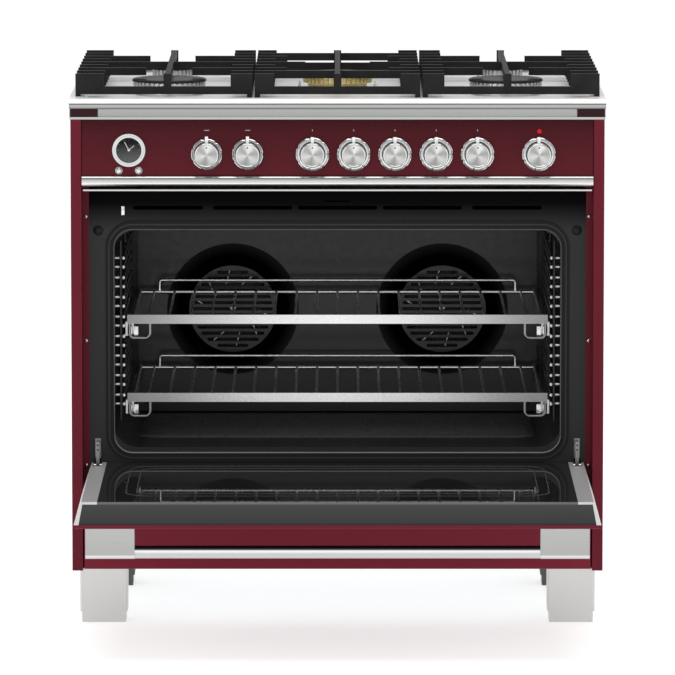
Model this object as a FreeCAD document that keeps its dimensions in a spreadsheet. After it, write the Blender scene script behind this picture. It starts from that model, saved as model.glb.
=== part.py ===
"""Freestanding 36-inch gas range: three cast grates and five burners over a wide convection oven.

The range stands on four legs. It is drawn with the oven door open (lying level), the drawer shut, both
racks home and all knobs off. X runs to the right as seen by the cook, Y to the back, Z up, and the origin
is the middle of the range's own box on the ground. Depths called "deep" run back from the front faces
of the side posts.
"""

import FreeCAD
import Part
import math
import os
import re
import Sketcher

# Driving dimensions, in millimetres and degrees.
SIZES = {
    # whole range
    "hob_width": 911, "body_width": 906, "body_depth": 640, "door_reach": 428,
    "leg_height": 94.5, "hob_top": 903, "hob_underside": 868, "skin": 2,
    # side posts and the oven's front frame
    "post_width": 18, "jamb_width": 11, "jamb_deep": 47, "frame_deep": 49,
    "frame_low": 228, "frame_high": 745, "mouth_width": 766, "mouth_low": 301, "mouth_high": 675,
    "mouth_corner": 40,
    # hob tray, trims and corner blocks
    "tray_depth": 585, "rim": 26, "deck_drop": 7, "nose_height": 9.5,
    "strip_low": 872, "strip_high": 885.5, "strip_set_back": 7, "corner_block": 47, "vent_trim_top": 915,
    # control fascia, its knobs, clock and lamp
    "fascia_width": 868, "fascia_low": 772.7, "fascia_deep": 2, "fascia_return": 38,
    "knob_height": 809, "knob_radius": 21, "knob_length": 27, "knob_gap": 1.5, "stem_radius": 3,
    "stem_fit": 0.05, "bezel_radius": 29, "bezel_small": 27, "bezel_length": 6, "bezel_fit": 0.7,
    "clock_x": -354, "clock_height": 816, "clock_radius": 28, "dial_radius": 21.5,
    "button_radius": 4.8, "lamp_x": 342.5, "lamp_height": 847.6, "lamp_radius": 4.2,
    "button_height": 781, "nose_low": 753.9, "nose_proud": 8, "thin_strip": 2.7, "thin_strip_low": 745.9,
    # oven
    "oven_deep": 545, "baffle_deep": 506, "fan_x": 186, "fan_height": 486, "fan_radius": 70,
    "grille_reach": 71, "grille_slot": 6, "grille_pitch": 10.9, "fan_shaft": 5, "element_radius": 92,
    "gasket_proud": 3.4, "gasket_band": 12, "gasket_across": 792, "gasket_height": 413, "gasket_low": 277,
    "baffle_width": 708, "baffle_height": 352, "broil_radius": 4, "broil_front": 222, "broil_drop": 12,
    "cooling_slot": 6.8, "cooling_height": 713, "cooling_pitch": 144.5, "latch_width": 44, "latch_slot": 2.4,
    # shelf guides, runners and racks
    "ladder_x": 372, "ladder_front": 62, "ladder_back": 490, "guide_top": 617.6, "guide_pitch": 33.7,
    "guide_half_gap": 7.7, "wire": 2.6, "rack_width": 720, "rack_front": 68, "rack_back": 470,
    "rack_trim": 15.4, "rack_wires": 698, "wire_pitch": 36, "wire_lift": 3.5, "guard_rise": 21,
    "guard_width": 630,
    "guard_bend": 5, "loop_bend": 9, "loop_width": 35, "loop_drop": 34,
    # door, lying open
    "door_skin_width": 867, "door_width": 842, "door_near": 44, "door_under": 230.5, "door_top": 275.5,
    "door_skin_thick": 6.6, "pivot_deep": 40, "pivot_height": 270.5, "side_strip": 26, "side_foot": 8,
    "glass_thick": 4, "window_width": 620, "handle_x": 374.5, "handle_bracket": 81,
    "handle_drop": 52, "bar_height": 20.5, "bar_width": 18, "handle_edge": 14, "bracket_along": 42,
    "hinge_x": 410, "claw_thick": 6, "hinge_pin": 3, "hinge_slot": 14,
    # drawer
    "drawer_top": 226, "drawer_low": 97, "drawer_width": 866, "drawer_thick": 22, "drawer_box_width": 800,
    "drawer_box_depth": 520, "drawer_box_height": 96,
    # gas pipe, cable hole and anti-tip bracket holes at the back
    "gas_x": 300, "gas_height": 150, "gas_pipe": 10.5, "bracket_spacing": 500, "bracket_hole": 4,
    # legs
    "leg_x": 400.5, "leg_width": 81, "leg_depth": 60, "front_leg_deep": 30, "rear_leg_deep": 430,
    "foot_height": 19,
    # grates
    "grate_low": 907, "grate_rail": 13, "grate_top": 942, "bar_depth": 13, "slat_thick": 9,
    "slat_pitch": 64.15, "slat_back": 565.8, "side_grate_x": 295.5, "side_grate_width": 301,
    "centre_grate_width": 282,
    "outer_slat": 48, "inner_slat": 37, "centre_slat": 33, "outer_reach": 117, "inner_reach": 105,
    "centre_reach": 53, "centre_long_reach": 85,
    # burners
    "burner_x": 289.5, "front_burner_deep": 181, "rear_burner_deep": 437, "centre_burner_deep": 306,
    "large_burner": 64, "small_burner": 38, "centre_burner": 62, "cap_top": 925, "cap_thick": 8,
    "head_height": 12, "throat_height": 9,
}

# Lengths that follow from the driving dimensions.
WORKED_OUT = {
    "face_y": "(door_reach - body_depth) / 2",
    "frame_y": "face_y + frame_deep",
    "fascia_y": "face_y + fascia_deep",
    "door_tip_y": "face_y - door_reach",
    "door_near_y": "face_y + door_near",
    "door_length": "door_near + door_reach",
    "deck": "hob_top - deck_drop",
    "oven_low": "mouth_low - skin",
    "slat_front": "slat_back - 8 * slat_pitch",
}

KNOB_PLACES = {
    "function_knob": -222, "temperature_knob": -152.5,
    "burner_knob_1": -42.5, "burner_knob_2": 27.5, "burner_knob_3": 97.5,
    "burner_knob_4": 167.5, "burner_knob_5": 237.5, "warmer_knob": 341.5,
}
SMALL_BEZELS = ("function_knob", "temperature_knob")
SWITCH_KNOBS = ("function_knob", "temperature_knob", "warmer_knob")
BUTTON_PLACES = {"clock_button_left": -371, "clock_button_right": -337.5}
RACK_GUIDES = {"rack_upper": 3, "rack_lower": 7}
GUIDE_COUNT = 8
SLAT_ROWS = 9
COOLING_SLOTS = (119, 135, 135, 135, 119)

doc = FreeCAD.newDocument("GasRange")
sheet = doc.addObject("Spreadsheet::Sheet", "Sizes")
for row, (alias, number) in enumerate(SIZES.items(), start=1):
    sheet.set(f"A{row}", alias.replace("_", " "))
    sheet.set(f"B{row}", str(number))
    sheet.setAlias(f"B{row}", alias)
doc.recompute()

nodes = []


def sized(text):
    """The expression with every name in it pointed at the sheet's cells."""
    def point(match):
        word = match.group(0)
        if word in WORKED_OUT:
            return "(" + sized(WORKED_OUT[word]) + ")"
        return "Sizes." + word if word in SIZES else word
    return re.sub(r"[a-z][a-z0-9_]*", point, str(text))


def cell(alias):
    """The number in one cell of the sheet."""
    return float(sheet.get(alias))


def node(obj, label):
    """Names a finished sub-part; every node is written to a file of its own."""
    obj.Label = label
    nodes.append(obj)
    return obj


def place(obj, at, axis="Z"):
    """Puts an object's own origin at a point, with its own Z turned to face along an axis."""
    turns = {
        "Z": FreeCAD.Rotation(),
        "X": FreeCAD.Rotation(FreeCAD.Vector(0, 1, 0), 90),
        "Y": FreeCAD.Rotation(FreeCAD.Vector(1, 0, 0), -90),
        "-Y": FreeCAD.Rotation(FreeCAD.Vector(1, 0, 0), 90),
    }
    obj.Placement = FreeCAD.Placement(FreeCAD.Vector(), turns[axis])
    for letter, text in zip("xyz", at):
        obj.setExpression("Placement.Base." + letter, sized(text))
    return obj


def box(name, size, at):
    """A block with its lowest corner at a point."""
    obj = doc.addObject("Part::Box", name)
    for prop, text in zip(("Length", "Width", "Height"), size):
        obj.setExpression(prop, sized(text))
    return place(obj, at)


def wide_box(name, size, at):
    """A block centred left to right on a point."""
    x, y, z = at
    return box(name, size, (f"{x} - ({size[0]}) / 2", y, z))


def rod(name, radius, length, at, axis="Z"):
    """A round bar that starts at a point and runs along an axis."""
    obj = doc.addObject("Part::Cylinder", name)
    obj.setExpression("Radius", sized(radius))
    obj.setExpression("Height", sized(length))
    return place(obj, at, axis)


def ring(name, across, tube, at, axis="Z"):
    """A round wire ring about a point."""
    obj = doc.addObject("Part::Torus", name)
    obj.setExpression("Radius1", sized(across))
    obj.setExpression("Radius2", sized(tube))
    return place(obj, at, axis)


def fuse(name, shapes):
    """Joins touching shapes into one solid."""
    obj = doc.addObject("Part::MultiFuse", name)
    obj.Shapes = shapes
    return obj


def group(name, shapes):
    """Keeps like pieces together as separate solids."""
    obj = doc.addObject("Part::Compound", name)
    obj.Links = shapes
    return obj


def cut(name, base, tools):
    """Takes shapes away from a base."""
    obj = doc.addObject("Part::Cut", name)
    obj.Base = base
    obj.Tool = tools[0] if len(tools) == 1 else group(name + "_tools", tools)
    return obj


def mirrored(name, source):
    """The same shape on the other side of the range's middle plane."""
    obj = doc.addObject("Part::Mirroring", name)
    obj.Source = source
    obj.Normal = FreeCAD.Vector(1, 0, 0)
    return obj


def both_sides(name, source):
    """A left piece and its right twin, as one group."""
    return group(name, [source, mirrored(name + "_twin", source)])


def tube(name, outer, inner, length, at, axis="Z"):
    """A round pipe or ring with a straight bore."""
    return cut(
        name, rod(name + "_outer", outer, length, at, axis), [rod(name + "_bore", inner, length, at, axis)],
    )


def origin_plane(body, role):
    """One of a body's own origin planes."""
    return next(plane for plane in body.Origin.OriginFeatures if plane.Role == role)


def sketch(body, name, role, corners):
    """A closed outline through corners, each held by its two distances from the sketch's origin.

    A corner whose distance is 0 is held on the axis instead. The lines start as a regular polygon, and
    the distances then pull each corner to its place.
    """
    obj = body.newObject("Sketcher::SketchObject", name)
    obj.AttachmentSupport = [(origin_plane(body, role), "")]
    obj.MapMode = "FlatFace"
    count = len(corners)
    start = [
        FreeCAD.Vector(90 + 50 * math.cos(turn), 90 + 50 * math.sin(turn), 0)
        for turn in (2 * math.pi * i / count for i in range(count))
    ]
    for i in range(count):
        obj.addGeometry(Part.LineSegment(start[i], start[(i + 1) % count]), False)
    for i in range(count):
        obj.addConstraint(Sketcher.Constraint("Coincident", i, 2, (i + 1) % count, 1))
    for i, corner in enumerate(corners):
        for kind, axis, text in zip(("DistanceX", "DistanceY"), (-2, -1), corner):
            if text == "0":
                obj.addConstraint(Sketcher.Constraint("PointOnObject", i, 1, axis))
                continue
            index = obj.addConstraint(Sketcher.Constraint(kind, -1, 1, i, 1, 90))
            obj.setExpression(f"Constraints[{index}]", sized(text))
    return obj


def pad(name, corners, length, at, role="XY_Plane", axis="Z"):
    """A body whose outline is padded to a length."""
    body = doc.addObject("PartDesign::Body", name)
    outline = sketch(body, name + "_outline", role, corners)
    feature = body.newObject("PartDesign::Pad", name + "_pad")
    feature.Profile = outline
    feature.setExpression("Length", sized(length))
    place(body, at, axis)
    doc.recompute()
    return body


def rectangle(width, height, low="0", left="0"):
    """Corners of a rectangle in the sketch's first quarter."""
    right = width if left == "0" else f"({left}) + ({width})"
    high = height if low == "0" else f"({low}) + ({height})"
    return [(left, low), (right, low), (right, high), (left, high)]


def turned(name, profile, at, axis):
    """A body turned about its own Z from a half profile of (radius, height) corners."""
    body = doc.addObject("PartDesign::Body", name)
    outline = sketch(body, name + "_profile", "XZ_Plane", profile)
    feature = body.newObject("PartDesign::Revolution", name + "_turn")
    feature.Profile = outline
    feature.ReferenceAxis = (outline, ["V_Axis"])
    feature.Angle = 360
    place(body, at, axis)
    doc.recompute()
    return body


def edges_where(body, test):
    """Names of a body's straight edges whose middle and direction, in the body's own frame, pass a test."""
    back = body.Placement.inverse()
    names = []
    for number, edge in enumerate(body.Shape.Edges, start=1):
        ends = [back.multVec(vertex.Point) for vertex in edge.Vertexes]
        if len(ends) == 2 and test((ends[0] + ends[1]) / 2, (ends[1] - ends[0]).normalize()):
            names.append(f"Edge{number}")
    return names


def fillet(body, name, radius, test):
    """Rounds the edges of a body that pass a test."""
    base = body.Tip
    edges = edges_where(body, test)
    feature = body.newObject("PartDesign::Fillet", name)
    feature.Base = (base, edges)
    feature.setExpression("Radius", sized(radius))
    doc.recompute()
    return feature


def along(letter):
    """A test for edges that run along one of a body's own axes."""
    index = "xyz".index(letter)
    return lambda middle, direction: abs(direction[index]) > 0.99


# Cabinet: folded side panels with square front posts, a back, a base with drawer runners, and legs.

def make_side_panels():
    """Each side is one folded sheet: outer wall, post face, post return and the recessed jamb flange."""
    flange = "post_width + jamb_width"
    corners = [
        ("0", "0"), ("post_width", "0"), ("post_width", "jamb_deep"), (flange, "jamb_deep"),
        (flange, "jamb_deep + skin"), ("post_width - skin", "jamb_deep + skin"),
        ("post_width - skin", "skin"),
        ("skin", "skin"), ("skin", "body_depth - skin"), ("0", "body_depth - skin"),
    ]
    left = pad(
        "side_left", corners, "hob_underside - leg_height", ("-body_width / 2", "face_y", "leg_height"),
    )
    node(left, "side_panel_left")
    node(mirrored("side_right", left), "side_panel_right")


def make_back_and_base():
    """The back sheet with its pipe, cable and bracket holes, and the base pan with the drawer's runners."""
    sheet_back = wide_box(
        "back_sheet", ("body_width - 2 * skin", "skin", "hob_underside - leg_height"),
        ("0", "face_y + body_depth - skin", "leg_height"),
    )
    holes = [
        rod("pipe_hole", "16", "3 * skin", ("gas_x", "face_y + body_depth - 2 * skin", "gas_height"), "Y"),
        rod("cable_hole", "11", "3 * skin", ("-gas_x", "face_y + body_depth - 2 * skin", "gas_height"), "Y"),
    ]
    for side in (-1, 1):
        holes.append(rod(
            f"bracket_hole_{side}", "bracket_hole", "3 * skin",
            (f"{side} * bracket_spacing / 2", "face_y + body_depth - 2 * skin", "leg_height + 30"), "Y",
        ))
    node(cut("back", sheet_back, holes), "rear_panel")

    floor = wide_box(
        "base_sheet", ("body_width - 2 * skin", "body_depth - frame_deep - 2 * skin", "skin"),
        ("0", "frame_y + skin", "leg_height"),
    )
    runner = box(
        "drawer_runner", ("8", "drawer_box_depth - 40", "20"),
        ("-drawer_box_width / 2 - 14", "frame_y + 10", "leg_height + skin"),
    )
    node(fuse("base", [floor, runner, mirrored("drawer_runner_twin", runner)]), "base_pan")


def make_legs():
    """Four square stainless legs, each with a slightly narrower adjusting foot."""
    legs = []
    for name, deep in (("front", "front_leg_deep"), ("rear", "rear_leg_deep")):
        sleeve = pad(
            name + "_leg_sleeve", rectangle("leg_width", "leg_depth"), "leg_height - foot_height",
            ("-leg_x - leg_width / 2", f"face_y + {deep}", "foot_height"),
        )
        fillet(sleeve, name + "_leg_round", "3", along("z"))
        foot = box(
            name + "_foot", ("leg_width - 6", "leg_depth - 6", "foot_height"),
            ("-leg_x - leg_width / 2 + 3", f"face_y + {deep} + 3", "0"),
        )
        legs.append(fuse(name + "_leg", [sleeve, foot]))
    node(group("all_legs", [both_sides(leg.Name + "_pair", leg) for leg in legs]), "legs")


# Hob: pressed stainless tray, its rolled front trim, the painted corner blocks and the rear vent trim.

def make_hob():
    """A shallow tray with a flat rim and a lower deck that the burners and grates stand on."""
    tray = pad(
        "tray", rectangle("hob_width", "tray_depth"), "nose_height",
        ("-hob_width / 2", "face_y", "hob_top - nose_height"),
    )
    fillet(
        tray, "tray_nose", "nose_height / 2 - 0.5", lambda middle, way: abs(way[0]) > 0.99 and middle[1] < 1,
    )
    well = wide_box(
        "well", ("hob_width - 2 * rim", "tray_depth - 2 * rim", "deck_drop"), ("0", "face_y + rim", "deck"),
    )
    under = wide_box(
        "under", ("hob_width - 2 * rim - 8", "tray_depth - 2 * rim - 8", "nose_height - deck_drop - skin"),
        ("0", "face_y + rim + 4", "hob_top - nose_height"),
    )
    node(cut("hob", tray, [well, under]), "hob_tray")

    lip = wide_box(
        "lip", ("hob_width", "40", "hob_top - nose_height - strip_high - 1"),
        ("0", "face_y + 1.5", "strip_high + 1"),
    )
    web = wide_box(
        "strip", ("hob_width - 4", "30", "strip_high + 1 - strip_low"),
        ("0", "face_y + strip_set_back", "strip_low"),
    )
    sill = wide_box(
        "sill", ("hob_width - 2", "40", "strip_low - hob_underside"), ("0", "face_y + 0.5", "hob_underside"),
    )
    skirt = box(
        "skirt", ("skin", "tray_depth - 20", "hob_top - nose_height - hob_underside"),
        ("-hob_width / 2", "face_y + 20", "hob_underside"),
    )
    node(fuse("front_trim", [lip, web, sill, skirt, mirrored("skirt_twin", skirt)]), "hob_front_trim")
    block = box(
        "corner", ("corner_block", "strip_set_back - 1.5", "strip_high - strip_low - 0.5"),
        ("-hob_width / 2 + 2", "face_y + 1.5", "strip_low + 0.25"),
    )
    node(both_sides("corners", block), "hob_corner_blocks")

    vent = wide_box(
        "vent_body", ("hob_width - 6", "body_depth - tray_depth", "vent_trim_top - hob_underside"),
        ("0", "face_y + tray_depth", "hob_underside"),
    )
    cavity = wide_box(
        "vent_cavity",
        ("hob_width - 6 - 4 * skin", "body_depth - tray_depth - 4 * skin", "vent_trim_top - hob_underside"),
        ("0", "face_y + tray_depth + 2 * skin", "hob_underside - 2 * skin"),
    )
    slots = [
        box(
            f"vent_slot_{i}", ("46", "26", "80"),
            (f"-hob_width / 2 + 40 + {i} * 60.7", "face_y + tray_depth + 14", "vent_trim_top - 60"),
        )
        for i in range(14)
    ]
    node(cut("vent_trim", vent, [cavity] + slots), "rear_vent_trim")


# Control fascia: a painted pan with eight shaft holes, the clock, the lamp, and the nose trim below.

def make_fascia():
    """The fascia pan with a hole for each shaft, the clock, its two buttons and the lamp."""
    face = wide_box(
        "fascia_face", ("fascia_width", "skin", "hob_underside - fascia_low"),
        ("0", "fascia_y", "fascia_low"),
    )
    top = wide_box(
        "fascia_top", ("fascia_width", "fascia_return", "skin"), ("0", "fascia_y", "hob_underside - skin"),
    )
    bottom = wide_box(
        "fascia_bottom", ("fascia_width", "fascia_return", "skin"), ("0", "fascia_y", "fascia_low"),
    )
    drills = [
        rod(f"{name}_hole", "stem_radius + 3", "4 * skin", (x, "fascia_y - skin", "knob_height"), "Y")
        for name, x in KNOB_PLACES.items()
    ]
    drills.append(rod(
        "clock_hole", "dial_radius + 2", "4 * skin", ("clock_x", "fascia_y - skin", "clock_height"), "Y",
    ))
    drills.append(rod(
        "lamp_hole", "lamp_radius - 1", "4 * skin", ("lamp_x", "fascia_y - skin", "lamp_height"), "Y",
    ))
    for name, x in BUTTON_PLACES.items():
        drills.append(rod(
            f"{name}_hole", "button_radius + 0.4", "4 * skin", (x, "fascia_y - skin", "button_height"), "Y",
        ))
    node(cut("fascia", fuse("fascia_pan", [face, top, bottom]), drills), "control_fascia")

    nose = pad(
        "nose", rectangle("fascia_width", "nose_proud + 30"), "fascia_low - nose_low",
        ("-fascia_width / 2", "fascia_y - nose_proud", "nose_low"),
    )
    fillet(nose, "nose_round", "7", lambda middle, way: abs(way[0]) > 0.99 and middle[1] < 1)
    thin = wide_box(
        "thin_bright_strip", ("fascia_width - 4", "20", "thin_strip"),
        ("0", "fascia_y + 1", "thin_strip_low"),
    )
    node(group("nose_and_strip", [nose, thin]), "fascia_trim")


def make_bezels():
    """A chromed ring stands round each knob."""
    rings = []
    for name, x in KNOB_PLACES.items():
        outer = "bezel_small" if name in SMALL_BEZELS else "bezel_radius"
        rings.append(tube(
            name + "_bezel", outer, "knob_radius + bezel_fit", "bezel_length",
            (x, "fascia_y", "knob_height"), "-Y",
        ))
    node(group("bezels", rings), "knob_bezels")


def make_clock():
    """The clock's case stands behind the fascia; its bezel, dial and hands show in front."""
    rim = tube("clock_rim", "clock_radius", "dial_radius", "7", ("clock_x", "fascia_y", "clock_height"), "-Y")
    case = wide_box(
        "clock_box", ("64", "24", "46"), ("clock_x", "fascia_y + skin + 10", "clock_height - 23"),
    )
    neck = rod("clock_neck", "dial_radius + 1.5", "12", ("clock_x", "fascia_y + 1", "clock_height"), "Y")
    behind = fuse("clock_behind", [case, neck])
    node(group("clock_parts", [rim, behind]), "clock_case")
    plate = rod("dial_plate", "dial_radius - 0.2", "1", ("clock_x", "fascia_y + 1", "clock_height"), "-Y")
    post = rod("dial_post", "1", "4.4", ("clock_x", "fascia_y", "clock_height"), "-Y")
    node(fuse("dial", [plate, post]), "clock_dial")

    hands = {"clock_hour_hand": (12, 1.6, "1.0", 1.3), "clock_minute_hand": (17, 1.2, "2.4", 1.3)}
    angles = {"clock_hour_hand": 48, "clock_minute_hand": -32}
    for name, (length, half, lift, eye) in hands.items():
        arm = wide_box(name + "_arm", (2 * half, length, "0.6"), ("0", "0", "0"))
        hub = rod(name + "_hub", "2.6", "0.6", ("0", "0", "0"))
        solid = cut(
            name, fuse(name + "_solid", [arm, hub]), [rod(name + "_eye", "1.04", "0.6", ("0", "0", "0"))],
        )
        swing = FreeCAD.Rotation(FreeCAD.Vector(0, 0, 1), -angles[name])
        turn = FreeCAD.Rotation(FreeCAD.Vector(1, 0, 0), 90) * swing
        solid.Placement = FreeCAD.Placement(FreeCAD.Vector(), turn)
        for letter, text in zip("xyz", ("clock_x", f"fascia_y - {lift}", "clock_height")):
            solid.setExpression("Placement.Base." + letter, sized(text))
        node(solid, name)

    for name, x in BUTTON_PLACES.items():
        node(rod(name, "button_radius", "9", (x, "fascia_y + 4", "button_height"), "-Y"), name)
    node(rod("lamp", "lamp_radius", "3", ("lamp_x", "fascia_y", "lamp_height"), "-Y"), "warmer_lamp")


def make_knobs():
    """Each knob is turned: a drum with a rounded rim, a dished face and a blind bore for its stem."""
    bore = "stem_radius + stem_fit"
    profile = [
        (bore, "0"), ("knob_radius - 2", "0"), ("knob_radius - 0.4", "3"), ("knob_radius", "knob_length - 3"),
        ("knob_radius - 1.6", "knob_length"), ("knob_radius - 3.4", "knob_length - 0.4"),
        ("0", "knob_length - 3.4"),
        ("0", "knob_length - 9"), (bore, "knob_length - 9"),
    ]
    for name, x in KNOB_PLACES.items():
        knob = turned(name, profile, (x, "fascia_y - knob_gap", "knob_height"), "-Y")
        node(knob, name)


def make_valves():
    """The gas manifold with five taps and its pipe to the back, and the three switches for the ovens."""
    pipe_y = "fascia_y + 70"
    main = rod("manifold_pipe", "11", "gas_x + 76", ("-76", pipe_y, "knob_height"), "X")
    feed = rod("feed_pipe", "gas_pipe", "body_depth - 112", ("gas_x - 6", pipe_y, "knob_height"), "Y")
    drop = rod(
        "drop_pipe", "gas_pipe - 1", "knob_height - gas_height",
        ("gas_x - 6", "face_y + body_depth - 40", "gas_height"),
    )
    spigot = rod("spigot", "gas_pipe", "40", ("gas_x", "face_y + body_depth - 40", "gas_height"), "Y")
    joint = ("gas_x - 20", "face_y + body_depth - 54", "gas_height - 14")
    elbow = box("elbow", ("32", "28", "28"), joint)
    parts = [main, feed, drop, spigot, elbow]
    switches = []
    for name, x in KNOB_PLACES.items():
        body = wide_box(name + "_tap", ("30", "36", "30"), (x, "fascia_y + 34", "knob_height - 15"))
        stem = rod(
            name + "_stem", "stem_radius", "34 + knob_gap + 14", (x, "fascia_y + 36", "knob_height"), "-Y",
        )
        if name in SWITCH_KNOBS:
            switches.append(fuse(name + "_switch", [body, stem]))
        else:
            parts += [body, stem]
    node(fuse("manifold", parts), "gas_manifold")
    node(group("switches", switches), "oven_switches")


# Oven: enamelled liner, front frame, gasket, fan baffle, fans, elements, shelf guides and runners.

def rounded_block(name, width, height, depth, at, corner):
    """A block with four rounded edges that run front to back; 'at' is its left, back, low corner."""
    body = pad(name, rectangle(width, height), depth, at, axis="-Y")
    fillet(body, name + "_corners", corner, along("z"))
    return body


def rounded_slot(name, width, height, x, y, z):
    """A cutter for a slot with rounded ends through the sheet at y; x and z give the slot's middle."""
    return rounded_block(
        name, width, height, "3 * skin", (f"{x} - {width} / 2", f"{y} + 2 * skin", f"{z} - {height} / 2"),
        f"{height} / 2 - 0.2",
    )


def make_liner():
    """The oven's inner box, open in front, with two holes for the fan shafts."""
    mouth_height = "mouth_high - mouth_low"
    outer = rounded_block(
        "liner_outer", "mouth_width + 2 * skin", f"{mouth_height} + 2 * skin",
        "oven_deep - frame_deep - skin",
        ("-mouth_width / 2 - skin", "face_y + oven_deep", "oven_low"), "mouth_corner + skin",
    )
    inner = rounded_block(
        "liner_inner", "mouth_width", mouth_height, "oven_deep - frame_deep - skin",
        ("-mouth_width / 2", "face_y + oven_deep - skin", "mouth_low"), "mouth_corner",
    )
    shafts = [
        rod(
            f"shaft_hole_{side}", "fan_shaft + 2", "6",
            (f"{side} * fan_x", "face_y + oven_deep - 4", "fan_height"), "Y",
        )
        for side in (-1, 1)
    ]
    node(cut("liner", outer, [inner] + shafts), "oven_liner")


def make_front_frame():
    """The black plate round the oven's mouth, with cooling slots above it and slots for the hinges."""
    plate = wide_box(
        "frame_plate", ("fascia_width - 2", "skin", "frame_high - frame_low"), ("0", "frame_y", "frame_low"),
    )
    mouth = rounded_block(
        "mouth", "mouth_width", "mouth_high - mouth_low", "3 * skin",
        ("-mouth_width / 2", "frame_y + 2 * skin", "mouth_low"), "mouth_corner",
    )
    slots = []
    for i, width in enumerate(COOLING_SLOTS):
        slots.append(rounded_slot(
            f"cooling_slot_{i}", width, "cooling_slot", f"{i - 2} * cooling_pitch", "frame_y",
            "cooling_height",
        ))
    slots.append(rounded_slot(
        "latch_slot", "latch_width", "latch_slot", "0", "frame_y", "cooling_height + 11",
    ))
    claw = wide_box("claw_slot", ("claw_thick + 4", "3 * skin", "54"), ("-hinge_x", "frame_y - skin", "262"))
    slots += [claw, mirrored("claw_slot_twin", claw)]
    node(cut("front_frame", plate, [mouth] + slots), "oven_front_frame")

    band = rounded_block(
        "gasket_outer", "gasket_across", "gasket_height", "gasket_proud",
        ("-gasket_across / 2", "frame_y", "gasket_low"),
        "mouth_corner + 6",
    )
    hole = rounded_block(
        "gasket_inner", "gasket_across - 2 * gasket_band", "gasket_height - 2 * gasket_band", "gasket_proud",
        ("-gasket_across / 2 + gasket_band", "frame_y", "gasket_low + gasket_band"), "mouth_corner - 6",
    )
    node(cut("gasket", band, [hole]), "oven_gasket")


def make_baffle():
    """A shallow cover over the fans, standing off the back wall, with rows of slots before each fan."""
    depth = "oven_deep - skin - baffle_deep"
    front = "face_y + baffle_deep"
    cover = wide_box(
        "baffle_outer", ("baffle_width", depth, "baffle_height"), ("0", front, "mouth_low + skin"),
    )
    hollow = wide_box(
        "baffle_inner", ("baffle_width - 2 * skin", depth, "baffle_height - 2 * skin"),
        ("0", f"{front} + skin", "mouth_low + 2 * skin"),
    )
    slots = []
    for side in (-1, 1):
        for i in range(-6, 7):
            half = f"sqrt(grille_reach ^ 2 - ({i} * grille_pitch) ^ 2)"
            slots.append(rounded_slot(
                f"grille_slot_{side + 1}_{i + 6}", f"(2 * {half})", "grille_slot", f"{side} * fan_x", front,
                f"fan_height + {i} * grille_pitch",
            ))
    node(cut("baffle", cover, [hollow] + slots), "rear_baffle")


def make_fans():
    """Two fan wheels in front of the back wall, on the shafts of two motors behind it."""
    motors = []
    for side, label in ((-1, "oven_fan_left"), (1, "oven_fan_right")):
        disc = rod(label + "_disc", "fan_radius", "1.5", ("0", "0", "0"))
        hub = rod(label + "_hub", "9", "14", ("0", "0", "0"))
        blades = []
        for i in range(10):
            blade = doc.addObject("Part::Box", f"{label}_blade_{i}")
            blade.setExpression("Length", sized("fan_radius * 0.36"))
            blade.Width = 1.5
            blade.Height = 22
            turn = FreeCAD.Rotation(FreeCAD.Vector(0, 0, 1), 36 * i)
            start = turn.multVec(FreeCAD.Vector(cell("fan_radius") * 0.62, 0, 0))
            blade.Placement = FreeCAD.Placement(start, turn)
            blades.append(blade)
        wheel = fuse(label + "_wheel", [disc, hub] + blades)
        fan = cut(label, wheel, [rod(label + "_bore", "fan_shaft + 0.05", "14", ("0", "0", "0"))])
        node(place(fan, (f"{side} * fan_x", "face_y + oven_deep - 7", "fan_height"), "-Y"), label)
        can = rod(
            label + "_motor", "38", "52", (f"{side} * fan_x", "face_y + oven_deep + 4", "fan_height"), "Y",
        )
        collar = rod(
            label + "_collar", "12", "4", (f"{side} * fan_x", "face_y + oven_deep", "fan_height"), "Y",
        )
        shaft = rod(
            label + "_shaft", "fan_shaft", "26",
            (f"{side} * fan_x", "face_y + oven_deep + 2", "fan_height"), "-Y",
        )
        motors.append(fuse(label + "_drive", [can, collar, shaft]))
    node(group("motors", motors), "fan_motors")


def make_elements():
    """A round element about each fan and a broil element under the oven's roof."""
    elements = []
    for side in (-1, 1):
        centre = (f"{side} * fan_x", "face_y + oven_deep - 20", "fan_height")
        loop = ring(f"fan_element_{side}", "element_radius", "3.5", centre, "Y")
        tail = rod(
            f"fan_element_tail_{side}", "2.5", "20 - skin",
            (f"{side} * fan_x", "face_y + oven_deep - 20", "fan_height + element_radius"), "Y",
        )
        elements.append(fuse(f"fan_element_{side}_whole", [loop, tail]))
    level = "mouth_high - broil_drop"
    legs = [
        rod(f"broil_leg_{i}", "broil_radius", "250", (f"{i} * 80 - 200", "face_y + broil_front", level), "Y")
        for i in range(6)
    ]
    ends = []
    hangers = []
    for deep in ("broil_front", "broil_front + 250"):
        ends.append(rod(
            f"broil_end_{len(ends)}", "broil_radius + 0.5", "410", ("-205", f"face_y + {deep}", level), "X",
        ))
        for x in (-120, 120):
            hangers.append(rod(
                f"broil_hanger_{len(hangers)}", "2.5", "broil_drop", (x, f"face_y + {deep}", level),
            ))
    elements.append(fuse("broil_element", legs + ends + hangers))
    node(group("elements", elements), "oven_elements")


def guide_height(step):
    """Height of the middle of one shelf guide."""
    return f"(guide_top - {step} * guide_pitch)"


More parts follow.
